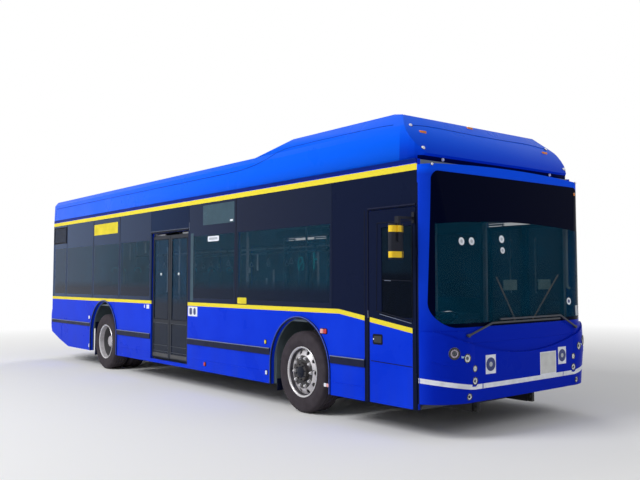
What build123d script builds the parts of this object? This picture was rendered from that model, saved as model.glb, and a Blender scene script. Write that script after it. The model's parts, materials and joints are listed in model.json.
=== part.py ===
"""Electric low-floor city bus, right-hand drive, with double doors on both sides.

Axes: +X to the front, +Y to the bus's left, +Z up. The origin is on the ground under the
middle of the overall length and width. Lengths are in millimetres, angles in degrees.
"""

from build123d import *
from math import atan2, cos, degrees, hypot, radians, sin
import os

os.makedirs("parts", exist_ok=True)

# ---------------------------------------------------------------- driving dimensions
WIDTH = 2600.0  # over the side walls
HALF = WIDTH / 2
WALL = 60.0  # a side wall, skin to lining
NOSE_X = 5590.0  # foremost point of the bumper
TAIL_X = -5530.0  # outer face of the rear wall
SKIRT_Z = 285.0  # lower edge of the side walls
GUTTER_Z = 2765.0  # top of the side walls, where the roof cowl starts
FLOOR_Z = 330.0  # top of the low floor
FLOOR_T = 40.0
DECK_Z = 780.0  # top of the raised floor over the rear axle
DECK_X = -1560.0  # front edge of the raised floor

WHEELBASE = 6000.0
FRONT_AXLE_X = 3235.0
REAR_AXLE_X = FRONT_AXLE_X - WHEELBASE
TYRE_R = 478.0
TYRE_W = 275.0
TYRE_FACE_Y = 1265.0  # outer face of the outer tyres
TWIN_GAP = 40.0
BEAD_R = 288.0  # where the tyre sits on the rim
KINGPIN_Y = 960.0
SEAT_GAP = 0.3  # clearance between a piece and what carries it

WAIST_Z = (1187.0, 1238.0)  # yellow stripe under the windows
CANTRAIL_Z = (2650.0, 2715.0)  # yellow stripe over the windows

DOOR_SILL_Z = FLOOR_Z + 5
DOOR_TOP_Z = 2290.0
DOOR_W = 1240.0  # clear width of a double doorway
LEAF_T = 40.0
LEAF_RECESS = 20.0  # leaf skin inside the wall skin
LEAF_PIVOT_D = 25.0  # from the leaf's inner face to its pivot line
LEAF_END = 35.0  # from the ends of the pivot line to the leaf's edges
LEAF_JAMB_GAP = 12.0
LEAF_MEET_GAP = 10.0
LEAF_LIFT = 37.0  # leaf's lower edge above the sill, room for the lower arm
LEAF_HEAD_GAP = 45.0  # leaf's upper edge under the door's head, room for the upper arm
POST_R = 16.0
LEFT, RIGHT = 1, -1

CAB_DOOR_X = (4512.0, 5242.0)  # driver's doorway
CAB_DOOR_Z = (SKIRT_Z, 2290.0)
CAB_GAP = 6.0
CAB_DOOR_T = 45.0

# double doorways: name, side, middle along the bus
DOORWAYS = (
    ("right_middle", RIGHT, -200.0),
    ("left_middle", LEFT, -200.0),
    ("left_front", LEFT, 4570.0),
)


def store(piece, label):
    """Labels a finished piece and writes it as one STEP file."""
    piece.part.label = label
    export_step(piece.part, f"parts/{label}.step")


def side_plane(side, y):
    """Plane parallel to a side wall at distance y from the middle, drawn as (x, z)."""
    return Plane.XZ.offset(-side * y)


def outward(side, depth):
    """Extrusion distance that goes away from the middle of the bus."""
    return -side * depth


def across(x):
    """Plane across the bus at x, drawn as (y, z)."""
    return Plane(origin=(x, 0, 0), x_dir=(0, 1, 0), z_dir=(1, 0, 0))


# ---------------------------------------------------------------- side walls
WALL_REAR_X = TAIL_X + 60
WALL_FRONT_X = 5250.0
ARCH_R = 585.0
# wheel arches in the walls: axle, height of the arc's centre
ARCHES = ((FRONT_AXLE_X, 522.0), (REAR_AXLE_X, 594.0))
GLASS_T = 8.0
PANE_Z = (WAIST_Z[1] + 4, CANTRAIL_Z[0] - 4)
CLEAR_Z = (1300.0, 2190.0)
PANE_GAP = 10.0
PANE_FRAME = 45.0  # hidden border of a pane behind which the wall is solid
# panes between the doorways: rear edge, front edge
REAR_PANES = ((-5400.0, -4700.0), (-4700.0, -3300.0), (-3300.0, -2090.0), (-2090.0, -850.0))
FRONT_PANES = ((450.0, 1780.0), (1780.0, 3880.0))
PANES = REAR_PANES + FRONT_PANES


def double_doorway_edges(middle):
    return middle - DOOR_W / 2, middle + DOOR_W / 2


def box_between(x, y, z, mode=Mode.ADD):
    """Box between two corners given as pairs along each axis."""
    with Locations(((x[0] + x[1]) / 2, (y[0] + y[1]) / 2, (z[0] + z[1]) / 2)):
        Box(abs(x[1] - x[0]), abs(y[1] - y[0]), abs(z[1] - z[0]), mode=mode)


def rectangle_between(u, v, mode=Mode.ADD):
    """Rectangle between two corners of the current sketch plane."""
    with Locations(((u[0] + u[1]) / 2, (v[0] + v[1]) / 2)):
        Rectangle(abs(u[1] - u[0]), abs(v[1] - v[0]), mode=mode)


def mirrored(side, low, high):
    """Pair of y values on one side of the bus."""
    return side * low, side * high


# lower edge of the wall behind the rear wheel, rising to the tail
TAIL_UNDERSIDE = ((-4520.0, SKIRT_Z), (-5000.0, 395.0), (WALL_REAR_X, 530.0))


def panel_joint(side, x, z):
    """Butt joint that parts the wall across its thickness over a span of heights."""
    box_between(
        (x - SEAT_GAP / 2, x + SEAT_GAP / 2),
        mirrored(side, HALF - WALL - 1, HALF + 1),
        z,
        mode=Mode.SUBTRACT,
    )


with BuildPart() as side_walls:
    for side in (LEFT, RIGHT):
        with BuildSketch(side_plane(side, HALF - WALL)) as outline:
            with BuildLine():
                Polyline(
                    (WALL_FRONT_X, SKIRT_Z),
                    *TAIL_UNDERSIDE,
                    (WALL_REAR_X, GUTTER_Z),
                    (WALL_FRONT_X, GUTTER_Z),
                    close=True,
                )
            make_face()
            for axle_x, centre_z in ARCHES:
                with Locations((axle_x, centre_z)):
                    Circle(ARCH_R, mode=Mode.SUBTRACT)
                rectangle_between(
                    (axle_x - ARCH_R, axle_x + ARCH_R), (0, centre_z), mode=Mode.SUBTRACT
                )
            for name, door_side, middle in DOORWAYS:
                if door_side == side:
                    rectangle_between(
                        double_doorway_edges(middle),
                        (DOOR_SILL_Z, DOOR_TOP_Z),
                        mode=Mode.SUBTRACT,
                    )
            if side == RIGHT:
                rectangle_between(
                    (CAB_DOOR_X[0], WALL_FRONT_X), (0, CAB_DOOR_Z[1]), mode=Mode.SUBTRACT
                )
            for rear, front in PANES:
                rectangle_between(
                    (rear + PANE_FRAME, front - PANE_FRAME), CLEAR_Z, mode=Mode.SUBTRACT
                )
        extrude(outline.sketch, amount=outward(side, WALL))
        for rear, front in PANES:
            box_between(
                (rear, front),
                mirrored(side, HALF - GLASS_T - SEAT_GAP, HALF + 1),
                PANE_Z,
                mode=Mode.SUBTRACT,
            )
        # header and sill of a doorway are panels of their own
        for name, door_side, middle in DOORWAYS:
            if door_side == side:
                for x in double_doorway_edges(middle):
                    panel_joint(side, x, (DOOR_TOP_Z - 1, GUTTER_Z + 1))
                    panel_joint(side, x, (SKIRT_Z - 1, DOOR_SILL_Z + 1))
        if side == RIGHT:
            panel_joint(side, CAB_DOOR_X[0], (CAB_DOOR_Z[1] - 1, GUTTER_Z + 1))
store(side_walls, "side_walls")

# ---------------------------------------------------------------- front end
SHELL_X = WALL_FRONT_X  # rear edge of the front mouldings
SILL_Z = 1050.0  # where the lower front panel meets the windscreen surround
SHELL_T = 50.0
CORNER_X = SHELL_X + 25  # where the nose's corners meet the sides
# plans of the nose by height: z, x in the middle, x at the flat's end, y of the flat's end,
# (x, y) half way round the corner, (x, y) where the corner meets the side
LOWER_NOSE = (
    (350.0, 5570.0, 5560.0, 800.0, (5490.0, 1110.0), (CORNER_X, HALF)),
    (500.0, NOSE_X, 5578.0, 800.0, (5500.0, 1112.0), (CORNER_X, HALF)),
    (760.0, NOSE_X, 5580.0, 830.0, (5515.0, 1130.0), (CORNER_X, HALF)),
    (SILL_Z, 5584.0, 5573.0, 830.0, (5502.0, 1126.0), (CORNER_X, HALF)),
)
HEADER_LOW_Z = 2655.0  # underside of the roll over the windscreen
UPPER_NOSE = (
    (SILL_Z, 5562.0, 5548.0, 800.0, (5470.0, 1110.0), (CORNER_X, HALF)),
    (HEADER_LOW_Z, 5405.0, 5400.0, 1157.0, (5384.0, 1232.0), (CORNER_X + 23, HALF)),
    (GUTTER_Z - 5, 5395.0, 5390.0, 1180.0, (5378.0, 1240.0), (CORNER_X + 25, HALF)),
)


def nose_section(station, inset):
    """Closed plan of the nose at one height, drawn inset from the skin."""
    z, middle_x, flat_x, flat_y, corner, end = station
    with BuildSketch(Plane.XY.offset(z)) as plan:
        with BuildLine():
            ThreePointArc(
                (flat_x - inset, -flat_y), (middle_x - inset, 0), (flat_x - inset, flat_y)
            )
            for s in (LEFT, RIGHT):
                ThreePointArc(
                    (flat_x - inset, s * flat_y),
                    (corner[0] - 0.8 * inset, s * (corner[1] - 0.6 * inset)),
                    (end[0], s * (end[1] - inset)),
                )
                Line((end[0], s * (end[1] - inset)), (SHELL_X, s * (end[1] - inset)))
            Line((SHELL_X, -(end[1] - inset)), (SHELL_X, end[1] - inset))
        make_face()
    return plan.sketch


def nose_sections(stations, inset):
    """Plans of the nose for a loft, from the lowest up."""
    return [nose_section(station, inset) for station in stations]


# wipers: y of the spindle, (y, z) of the arm's end, y of the blade's far end
WIPERS = (
    (RIGHT * 910.0, (RIGHT * 560.0, 1117.0), LEFT * 590.0),
    (LEFT * 895.0, (LEFT * 600.0, 1150.0), RIGHT * 440.0),
)
WIPER_X = 5573.0  # back of the wiper arms
WIPER_Z = 1008.0  # height of the spindles
WIPER_SPINDLE_R = 12.0
WIPER_T = 14.0

# driver's door hinges, outside the skin: lower ends of the lower and upper hinge
HINGE_X = CAB_DOOR_X[1] + 1
HINGE_Y = HALF + 3
HINGE_Z = (560.0, 1800.0)
HINGE_R = 7.0
HINGE_PIN_R = 3.0
HINGE_H = 40.0  # height of each half of a hinge


def hinge_tab(z, far_x):
    """Half of a hinge: a barrel and the tab that fixes it to the skin at far_x."""
    box_between(
        (HINGE_X, far_x), mirrored(RIGHT, HALF - 1, HINGE_Y + 4), (z, z + HINGE_H)
    )
    with Locations((HINGE_X, RIGHT * HINGE_Y, z + HINGE_H / 2)):
        Cylinder(HINGE_R, HINGE_H)


def hinge_pin(z):
    """Pin of a hinge, standing on its lower half."""
    with Locations((HINGE_X, RIGHT * HINGE_Y, z + HINGE_H)):
        Cylinder(HINGE_PIN_R, 2 * HINGE_H)


# lamps in round pockets of the bumper panel: y, z, diameter, x of the skin there, and the
# angle by which the skin turns away from the front
FRONT_LAMPS = (
    (1080.0, 841.0, 120.0, 5541.0, 26.0),
    (940.0, 789.0, 90.0, 5583.0, 6.0),
    (830.0, 680.0, 70.0, 5580.0, 0.0),
    (830.0, 560.0, 80.0, 5580.0, 0.0),
    (900.0, 412.0, 70.0, 5567.0, 6.0),
)
LAMP_DEPTH = 40.0
LAMP_INSET = 5.0  # a lamp's lens behind the skin


def lamp_plane(side, y, z, skin_x, turn):
    """Plane that touches the skin at a lamp's middle."""
    a = radians(side * turn)
    return Plane(
        origin=(skin_x, side * y, z), x_dir=(-sin(a), cos(a), 0), z_dir=(cos(a), sin(a), 0)
    )


# the apron under the windscreen lies back from the bumper panel, over a curved crease
APRON_STEP = 24.0
CREASE = ((-HALF, 1085.0), (0.0, 795.0), (HALF, 1085.0))

with BuildPart() as apron_step:
    loft(nose_sections(LOWER_NOSE, -20), ruled=True)
    loft(nose_sections(LOWER_NOSE, APRON_STEP), ruled=True, mode=Mode.SUBTRACT)
    with BuildSketch(across(SHELL_X)):
        with BuildLine():
            ThreePointArc(*CREASE)
            Line(CREASE[0], CREASE[2])
        make_face()
    extrude(amount=500, mode=Mode.INTERSECT)

with BuildPart() as front_fascia:
    loft(nose_sections(LOWER_NOSE, 0), ruled=True)
    loft(nose_sections(LOWER_NOSE, SHELL_T), ruled=True, mode=Mode.SUBTRACT)
    add(apron_step.part, mode=Mode.SUBTRACT)
    with BuildSketch(across(SHELL_X + 50)):
        for pivot_y, arm_end, blade_end_y in WIPERS:
            with Locations((pivot_y, WIPER_Z)):
                Circle(WIPER_SPINDLE_R + SEAT_GAP)
    extrude(amount=500, mode=Mode.SUBTRACT)
    for side in (LEFT, RIGHT):
        for y, z, d, skin_x, turn in FRONT_LAMPS:
            with BuildSketch(lamp_plane(side, y, z, skin_x, turn)):
                Circle(d / 2 + SEAT_GAP)
            extrude(amount=LAMP_DEPTH, both=True, mode=Mode.SUBTRACT)
    hinge_tab(HINGE_Z[0], SHELL_X + 8)
    hinge_pin(HINGE_Z[0])
store(front_fascia, "front_fascia")

# windscreen: height, half width and corner radius of its lower and upper edge
SCREEN_LOW = (1085.0, 1258.0, 250.0)
SCREEN_TOP = (2640.0, 1230.0, 90.0)
# upper edge of the roll over the windscreen, seen from the front
ROLL_TOP = ((-HALF, 2700.0), (0.0, 2748.0), (HALF, 2700.0))


def screen_outline(gap):
    """Outline of the windscreen seen from the front."""
    low_z, low_y, low_r = SCREEN_LOW
    top_z, top_y, top_r = SCREEN_TOP
    corners = (
        (-low_y + gap, low_z + gap),
        (low_y - gap, low_z + gap),
        (top_y - gap, top_z - gap),
        (-top_y + gap, top_z - gap),
    )
    with BuildSketch(across(SHELL_X + 20)) as outline:
        with BuildLine():
            Polyline(*corners, close=True)
        make_face()
        fillet(outline.vertices().sort_by(Axis.Y)[:2], low_r - gap)
        fillet(outline.vertices().sort_by(Axis.Y)[-2:], top_r - gap)
    return outline.sketch


with BuildPart() as windscreen_surround:
    loft(nose_sections(UPPER_NOSE, 0), ruled=True)
    loft(nose_sections(UPPER_NOSE[:2], SHELL_T), ruled=True, mode=Mode.SUBTRACT)
    with BuildSketch(across(SHELL_X)):
        with BuildLine():
            ThreePointArc(*ROLL_TOP)
            Polyline(ROLL_TOP[2], (HALF, GUTTER_Z), (-HALF, GUTTER_Z), ROLL_TOP[0])
        make_face()
    extrude(amount=500, mode=Mode.SUBTRACT)
    extrude(screen_outline(0), amount=500, mode=Mode.SUBTRACT)
    hinge_tab(HINGE_Z[1], SHELL_X + 8)
    hinge_pin(HINGE_Z[1])
store(windscreen_surround, "windscreen_surround")

with BuildPart() as windscreen:
    loft(nose_sections(UPPER_NOSE[:2], 0), ruled=True)
    loft(nose_sections(UPPER_NOSE[:2], GLASS_T), ruled=True, mode=Mode.SUBTRACT)
    extrude(screen_outline(SEAT_GAP), amount=500, mode=Mode.INTERSECT)
store(windscreen, "windscreen")

# ---------------------------------------------------------------- rear wall, roof, windows
RAIL_Y = 420.0
RAIL = (80.0, 110.0)
RAIL_TOP = FLOOR_Z - FLOOR_T
RAIL_HIGH = DECK_Z - FLOOR_T
RAIL_KICK = (DECK_X - 15, DECK_X - 290)  # where the rails leave the low floor, reach the deck
CROSS_X = (-1400.0, 0.0, 1400.0, 2500.0, 4000.0, 4900.0)
CROSS_HALF = 30.0
MOTOR_X = (REAR_AXLE_X - 1500, REAR_AXLE_X - 500)  # rear and front of the drive unit
CROSS_HIGH_X = (REAR_AXLE_X + 600, MOTOR_X[1] + 100, MOTOR_X[0] - 100, WALL_REAR_X + 270)
TOW_R = 15.0  # bore of the towing eyes and sockets
TOW_SOCKET_R = 30.0
TOW_SOCKET_L = 90.0
TOW_HATCH_R = 38.0
TOW_BORE_L = 70.0

REAR_T = 60.0
REAR_WINDOW = ((-950.0, 950.0), (1500.0, 2450.0))
REAR_HATCH = ((-1000.0, 1000.0), (1020.0, 1440.0))
SHUT_LINE = 6.0  # width and depth of a shut line
TAIL_LOW_Z = 540.0

with BuildPart() as rear_wall:
    with BuildSketch(Plane.XY.offset(TAIL_LOW_Z)):
        rectangle_between((TAIL_X, WALL_REAR_X), (-HALF, HALF))
    extrude(amount=GUTTER_Z - TAIL_LOW_Z)
    fillet(rear_wall.edges().filter_by(Axis.Z).group_by(Axis.X)[0], REAR_T - 10)
    with BuildSketch(across(TAIL_X)):
        rectangle_between(*REAR_WINDOW)
        for side in (LEFT, RIGHT):
            with Locations((side * (RAIL_Y + RAIL[0] / 2), RAIL_HIGH - RAIL[1] / 2)):
                Circle(TOW_HATCH_R)
    extrude(amount=REAR_T, mode=Mode.SUBTRACT)
    # shut line of the hatch under the window
    (y0, y1), (z0, z1) = REAR_HATCH
    with BuildSketch(across(TAIL_X)):
        rectangle_between((y0, y1), (z0, z1))
        rectangle_between(
            (y0 + SHUT_LINE, y1 - SHUT_LINE), (z0 + SHUT_LINE, z1 - SHUT_LINE), mode=Mode.SUBTRACT
        )
    extrude(amount=SHUT_LINE, mode=Mode.SUBTRACT)
store(rear_wall, "rear_wall")

# rear bumper, bulging from the wall: profile as (x, z) from the lower edge up
BUMPER_X = -NOSE_X  # rearmost point
BUMPER_BACK = TAIL_X - SEAT_GAP
BUMPER_PROFILE = (
    (BUMPER_BACK, 545.0),
    (BUMPER_X + 15, 590.0),
    (BUMPER_X, 680.0),
    (BUMPER_X, 860.0),
    (BUMPER_X + 20, 950.0),
    (BUMPER_BACK, 990.0),
)
BUMPER_HALF_W = HALF - 20
with BuildPart() as rear_bumper:
    with BuildSketch(side_plane(RIGHT, 0)):
        with BuildLine():
            Polyline(*BUMPER_PROFILE, close=True)
        make_face()
    extrude(amount=BUMPER_HALF_W, both=True)
    with BuildSketch(across(BUMPER_X)):
        for side in (LEFT, RIGHT):
            with Locations((side * (RAIL_Y + RAIL[0] / 2), RAIL_HIGH - RAIL[1] / 2)):
                Circle(TOW_HATCH_R)
    extrude(amount=BUMPER_BACK - BUMPER_X, mode=Mode.SUBTRACT)
store(rear_bumper, "rear_bumper")

ROOF_T = 60.0
with BuildPart() as roof_panel:
    box_between(
        (WALL_REAR_X, SHELL_X),
        (-(HALF - WALL), HALF - WALL),
        (GUTTER_Z - 5 - ROOF_T, GUTTER_Z - 5),
    )
store(roof_panel, "roof_panel")

# cowl over the batteries on the roof: low at the rear, raised behind the front pod
COWL_Z = GUTTER_Z
COWL_SIDE = (
    (TAIL_X + 30, COWL_Z),
    (TAIL_X + 30, 3080.0),
    (TAIL_X + 90, 3150.0),
    (2150.0, 3150.0),
    (2790.0, 3328.0),
    (4700.0, 3328.0),
    (4850.0, 3300.0),
    (5060.0, 3110.0),
    (5290.0, 2825.0),
    (SHELL_X - 10, 2800.0),
    (SHELL_X - 10, COWL_Z),
)
COWL_ACROSS = ((1295.0, COWL_Z), (1285.0, 3075.0), (1245.0, 3145.0), (1080.0, 3330.0))
COWL_NOSE = ((5290.0, 1180.0), (5200.0, 1270.0), (5100.0, HALF))
COWL_VOIDS = (
    ((TAIL_X + 80, 2150.0), 1200.0, 3110.0),
    ((2150.0, 2700.0), 1200.0, 3110.0),
    ((2700.0, 4760.0), 1060.0, 3260.0),
)

with BuildPart() as roof_cowl:
    with BuildSketch(side_plane(RIGHT, 0)):
        with BuildLine():
            Polyline(*COWL_SIDE, close=True)
        make_face()
    extrude(amount=HALF, both=True)
    with BuildSketch(across(TAIL_X)):
        with BuildLine():
            Polyline(
                *COWL_ACROSS, *[(-y, z) for y, z in reversed(COWL_ACROSS)], close=True
            )
        make_face()
    extrude(amount=NOSE_X - TAIL_X, mode=Mode.INTERSECT)
    with BuildSketch(Plane.XY.offset(COWL_Z)):
        with BuildLine():
            Polyline(
                (TAIL_X, HALF),
                *[(x, y) for x, y in reversed(COWL_NOSE)],
                *[(x, -y) for x, y in COWL_NOSE],
                (TAIL_X, -HALF),
                close=True,
            )
        make_face()
    extrude(amount=1000, mode=Mode.INTERSECT)
    for x_span, half_w, top_z in COWL_VOIDS:
        box_between(x_span, (-half_w, half_w), (COWL_Z, top_z), mode=Mode.SUBTRACT)
store(roof_cowl, "roof_cowl")

# battery packs on the roof: middle along the bus
PACK_SIZE = (1500.0, 2000.0, 260.0)
PACK_X = (-4300.0, -2500.0, -700.0, 3600.0)
with BuildPart() as battery_packs:
    for x in PACK_X:
        with Locations((x, 0, GUTTER_Z - 5 + PACK_SIZE[2] / 2)):
            Box(*PACK_SIZE)
store(battery_packs, "battery_packs")

with BuildPart() as fixed_windows:
    for side in (LEFT, RIGHT):
        for rear, front in PANES:
            box_between(
                (rear + PANE_GAP / 2, front - PANE_GAP / 2),
                mirrored(side, HALF - GLASS_T, HALF),
                PANE_Z,
            )
    (y0, y1), (z0, z1) = REAR_WINDOW
    box_between(
        (TAIL_X, TAIL_X + GLASS_T), (y0 + SEAT_GAP, y1 - SEAT_GAP), (z0 + SEAT_GAP, z1 - SEAT_GAP)
    )
store(fixed_windows, "fixed_windows")

# ---------------------------------------------------------------- floor and wheel housings
HOUSING_T = 25.0
# wheel housings: rear, front, inner face, bottom, top
FRONT_HOUSING = (FRONT_AXLE_X - 590.0, FRONT_AXLE_X + 590.0, 640.0, SKIRT_Z, 1090.0)
REAR_HOUSING = (REAR_AXLE_X - 590.0, REAR_AXLE_X + 590.0, 640.0, DECK_Z - FLOOR_T, 1130.0)
FLOOR_EDGE = HALF - WALL - SEAT_GAP

with BuildPart() as floor:
    box_between(
        (DECK_X, SHELL_X), (-FLOOR_EDGE, FLOOR_EDGE), (FLOOR_Z - FLOOR_T, FLOOR_Z)
    )
    box_between(
        (DECK_X, DECK_X + FLOOR_T), (-FLOOR_EDGE, FLOOR_EDGE), (FLOOR_Z - FLOOR_T, DECK_Z)
    )
    box_between(
        (WALL_REAR_X + 5, DECK_X + FLOOR_T),
        (-FLOOR_EDGE, FLOOR_EDGE),
        (DECK_Z - FLOOR_T, DECK_Z),
    )
    for x0, x1, y, low, top in (FRONT_HOUSING, REAR_HOUSING):
        for side in (LEFT, RIGHT):
            box_between((x0, x1), mirrored(side, y, HALF), (0, top), mode=Mode.SUBTRACT)
store(floor, "floor")

with BuildPart() as wheel_housings:
    for x0, x1, y, low, top in (FRONT_HOUSING, REAR_HOUSING):
        for side in (LEFT, RIGHT):
            box_between((x0, x1), mirrored(side, y, FLOOR_EDGE), (low, top))
            box_between(
                (x0 + HOUSING_T, x1 - HOUSING_T),
                mirrored(side, y + HOUSING_T, HALF),
                (0, top - HOUSING_T),
                mode=Mode.SUBTRACT,
            )
store(wheel_housings, "wheel_housings")

# ---------------------------------------------------------------- chassis
with BuildPart() as chassis_frame:
    for side in (LEFT, RIGHT):
        with BuildSketch(side_plane(side, RAIL_Y)):
            with BuildLine():
                Polyline(
                    (SHELL_X - 20, RAIL_TOP),
                    (RAIL_KICK[0], RAIL_TOP),
                    (RAIL_KICK[1], RAIL_HIGH),
                    (WALL_REAR_X + 20, RAIL_HIGH),
                    (WALL_REAR_X + 20, RAIL_HIGH - RAIL[1]),
                    (RAIL_KICK[1] + 50, RAIL_HIGH - RAIL[1]),
                    (RAIL_KICK[0] + 50, RAIL_TOP - RAIL[1]),
                    (SHELL_X - 20, RAIL_TOP - RAIL[1]),
                    close=True,
                )
            make_face()
        extrude(amount=outward(side, RAIL[0]))
    cross_y = (-RAIL_Y + SEAT_GAP, RAIL_Y - SEAT_GAP)
    for cross_xs, top_z in ((CROSS_X, RAIL_TOP), (CROSS_HIGH_X, RAIL_HIGH)):
        for x in cross_xs:
            box_between((x - CROSS_HALF, x + CROSS_HALF), cross_y, (top_z - RAIL[1], top_z))
    for side in (LEFT, RIGHT):
        # towing eye at the front end of the rail
        eye_x = SHELL_X - 20
        box_between(
            (eye_x, eye_x + 60),
            mirrored(side, RAIL_Y + 20, RAIL_Y + 60),
            (RAIL_TOP - RAIL[1], RAIL_TOP),
        )
        with BuildSketch(side_plane(side, RAIL_Y)):
            with Locations((eye_x + 35, RAIL_TOP - RAIL[1] / 2)):
                Circle(TOW_R)
        extrude(amount=outward(side, RAIL[0]), mode=Mode.SUBTRACT)
        # towing socket at its rear end, its mouth to the rear
        for x, r, depth, mode in (
            (WALL_REAR_X + 20, TOW_SOCKET_R, TOW_SOCKET_L, Mode.ADD),
            (WALL_REAR_X + 20 - TOW_SOCKET_L + TOW_BORE_L, TOW_R, TOW_BORE_L, Mode.SUBTRACT),
        ):
            with BuildSketch(across(x)):
                with Locations((side * (RAIL_Y + RAIL[0] / 2), RAIL_HIGH - RAIL[1] / 2)):
                    Circle(r)
            extrude(amount=-depth, mode=mode)
store(chassis_frame, "chassis_frame")

# electric motor and gearbox between the raised rails, behind the rear axle
with BuildPart() as drive_unit:
    box_between(
        MOTOR_X, (-RAIL_Y + SEAT_GAP, RAIL_Y - SEAT_GAP), (RAIL_HIGH - 420, RAIL_HIGH)
    )
store(drive_unit, "drive_unit")

# ---------------------------------------------------------------- double doors
LEAF_W = (DOOR_W - 2 * LEAF_JAMB_GAP - LEAF_MEET_GAP) / 2
PIVOT_W = LEAF_W + 2 * LEAF_END  # length of the pivot line
LEAF_OUT_Y = HALF - LEAF_RECESS
LEAF_IN_Y = LEAF_OUT_Y - LEAF_T
PIVOT_Y = LEAF_IN_Y - LEAF_PIVOT_D
LEAF_Z = (DOOR_SILL_Z + LEAF_LIFT, DOOR_TOP_Z - LEAF_HEAD_GAP)
LEAF_FRAME = 55.0  # width of the leaf's frame round its glass
LEAF_RAIL_Z = (900.0, 960.0)  # cross rail between the two lights of a leaf
ARM_T = 20.0
ARM_GAP = 10.0  # between an arm and the leaf's edge that it passes
ARM_Z = (LEAF_Z[0] - ARM_GAP - ARM_T, LEAF_Z[1] + ARM_GAP)  # lower faces of the two arms
PIN_R = 8.0
PIN_END = 4.0  # a pin's length past its arm
EYE_R = 14.0  # half width of an arm and its eye
LUG_T = 12.0
HEADER_Z = DOOR_TOP_Z + 8  # underside of the door gear
POST_Z = (FLOOR_Z + SEAT_GAP, HEADER_Z - SEAT_GAP)


def post_x(middle, end):
    """Place of a post along the bus; end is -1 at the rear jamb and 1 at the front."""
    return middle + end * (LEAF_MEET_GAP / 2 - LEAF_END + PIVOT_W)


for name, side, middle in DOORWAYS:
    for end, end_name in ((-1, "rear"), (1, "front")):
        post = post_x(middle, end)
        jamb_edge = post - end * LEAF_END
        meet_edge = middle + end * LEAF_MEET_GAP / 2
        leaf_x = (min(jamb_edge, meet_edge), max(jamb_edge, meet_edge))
        leaf_middle = (leaf_x[0] + leaf_x[1]) / 2
        lights = (
            (LEAF_Z[0] + LEAF_FRAME, LEAF_RAIL_Z[0]),
            (LEAF_RAIL_Z[1], LEAF_Z[1] - LEAF_FRAME),
        )
        clear_x = (leaf_x[0] + LEAF_FRAME, leaf_x[1] - LEAF_FRAME)

        with BuildPart() as leaf:
            box_between(leaf_x, mirrored(side, LEAF_IN_Y, LEAF_OUT_Y), LEAF_Z)
            for light in lights:
                box_between(
                    clear_x, mirrored(side, LEAF_IN_Y, LEAF_OUT_Y), light, mode=Mode.SUBTRACT
                )
            # a lug with a pin at each end of the leaf's middle line
            for lug_z, pin_z in (
                ((LEAF_Z[0], LEAF_Z[0] + LUG_T), (ARM_Z[0] - PIN_END, LEAF_Z[0] + LUG_T)),
                ((LEAF_Z[1] - LUG_T, LEAF_Z[1]), (LEAF_Z[1] - LUG_T, ARM_Z[1] + ARM_T + PIN_END)),
            ):
                box_between(
                    (leaf_middle - 20, leaf_middle + 20), mirrored(side, PIVOT_Y - 15, LEAF_IN_Y), lug_z
                )
                with Locations((leaf_middle, side * PIVOT_Y, (pin_z[0] + pin_z[1]) / 2)):
                    Cylinder(PIN_R, pin_z[1] - pin_z[0])
        store(leaf, f"leaf_{name}_{end_name}")

        with BuildPart() as leaf_glass:
            for light in lights:
                box_between(
                    (clear_x[0] + SEAT_GAP, clear_x[1] - SEAT_GAP),
                    mirrored(side, LEAF_OUT_Y - 14, LEAF_OUT_Y - 6),
                    (light[0] + SEAT_GAP, light[1] - SEAT_GAP),
                )
        store(leaf_glass, f"leaf_glass_{name}_{end_name}")

        with BuildPart() as post_arm:
            with Locations((post, side * PIVOT_Y, (POST_Z[0] + POST_Z[1]) / 2)):
                Cylinder(POST_R, POST_Z[1] - POST_Z[0])
            for z in ARM_Z:
                eye_x = leaf_middle - end * EYE_R
                box_between(
                    (post, eye_x), mirrored(side, PIVOT_Y - EYE_R, PIVOT_Y + EYE_R), (z, z + ARM_T)
                )
                with Locations((leaf_middle, side * PIVOT_Y, z + ARM_T / 2)):
                    Cylinder(PIN_R + SEAT_GAP, ARM_T, mode=Mode.SUBTRACT)
        store(post_arm, f"post_{name}_{end_name}")

# header boxes over the doorways and sockets under the posts
HEADER_H = 120.0
with BuildPart() as door_gear:
    for name, side, middle in DOORWAYS:
        x0 = post_x(middle, -1) - 60
        x1 = post_x(middle, 1) + 60
        box_between(
            (x0, x1),
            mirrored(side, PIVOT_Y - 150, HALF - WALL - SEAT_GAP),
            (HEADER_Z, HEADER_Z + HEADER_H),
        )
store(door_gear, "door_gear")

# ---------------------------------------------------------------- driver's door
CAB_LEAF_X = (CAB_DOOR_X[0] + 8, CAB_DOOR_X[1] - CAB_GAP)
CAB_LEAF_Z = (CAB_DOOR_Z[0] + 4, CAB_DOOR_Z[1] - CAB_GAP)
CAB_WINDOW_X = (4720.0, 5195.0)
CAB_WINDOW_Z = (1180.0, 2100.0)
CAB_HANDLE_X = (4585.0, 4730.0)
CAB_HANDLE_Z = (894.0, 992.0)

with BuildPart() as cab_door:
    with BuildSketch(side_plane(RIGHT, HALF - CAB_DOOR_T)):
        rectangle_between(CAB_LEAF_X, CAB_LEAF_Z)
        rectangle_between(CAB_WINDOW_X, CAB_WINDOW_Z, mode=Mode.SUBTRACT)
    extrude(amount=outward(RIGHT, CAB_DOOR_T))
    box_between(
        CAB_HANDLE_X, mirrored(RIGHT, HALF - 20, HALF), CAB_HANDLE_Z, mode=Mode.SUBTRACT
    )
    for z in HINGE_Z:
        hinge_tab(z + HINGE_H + SEAT_GAP, CAB_LEAF_X[1] - 8)
        with Locations((HINGE_X, RIGHT * HINGE_Y, z + 1.5 * HINGE_H)):
            Cylinder(HINGE_PIN_R + SEAT_GAP, HINGE_H + 2, mode=Mode.SUBTRACT)
store(cab_door, "cab_door")

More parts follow.
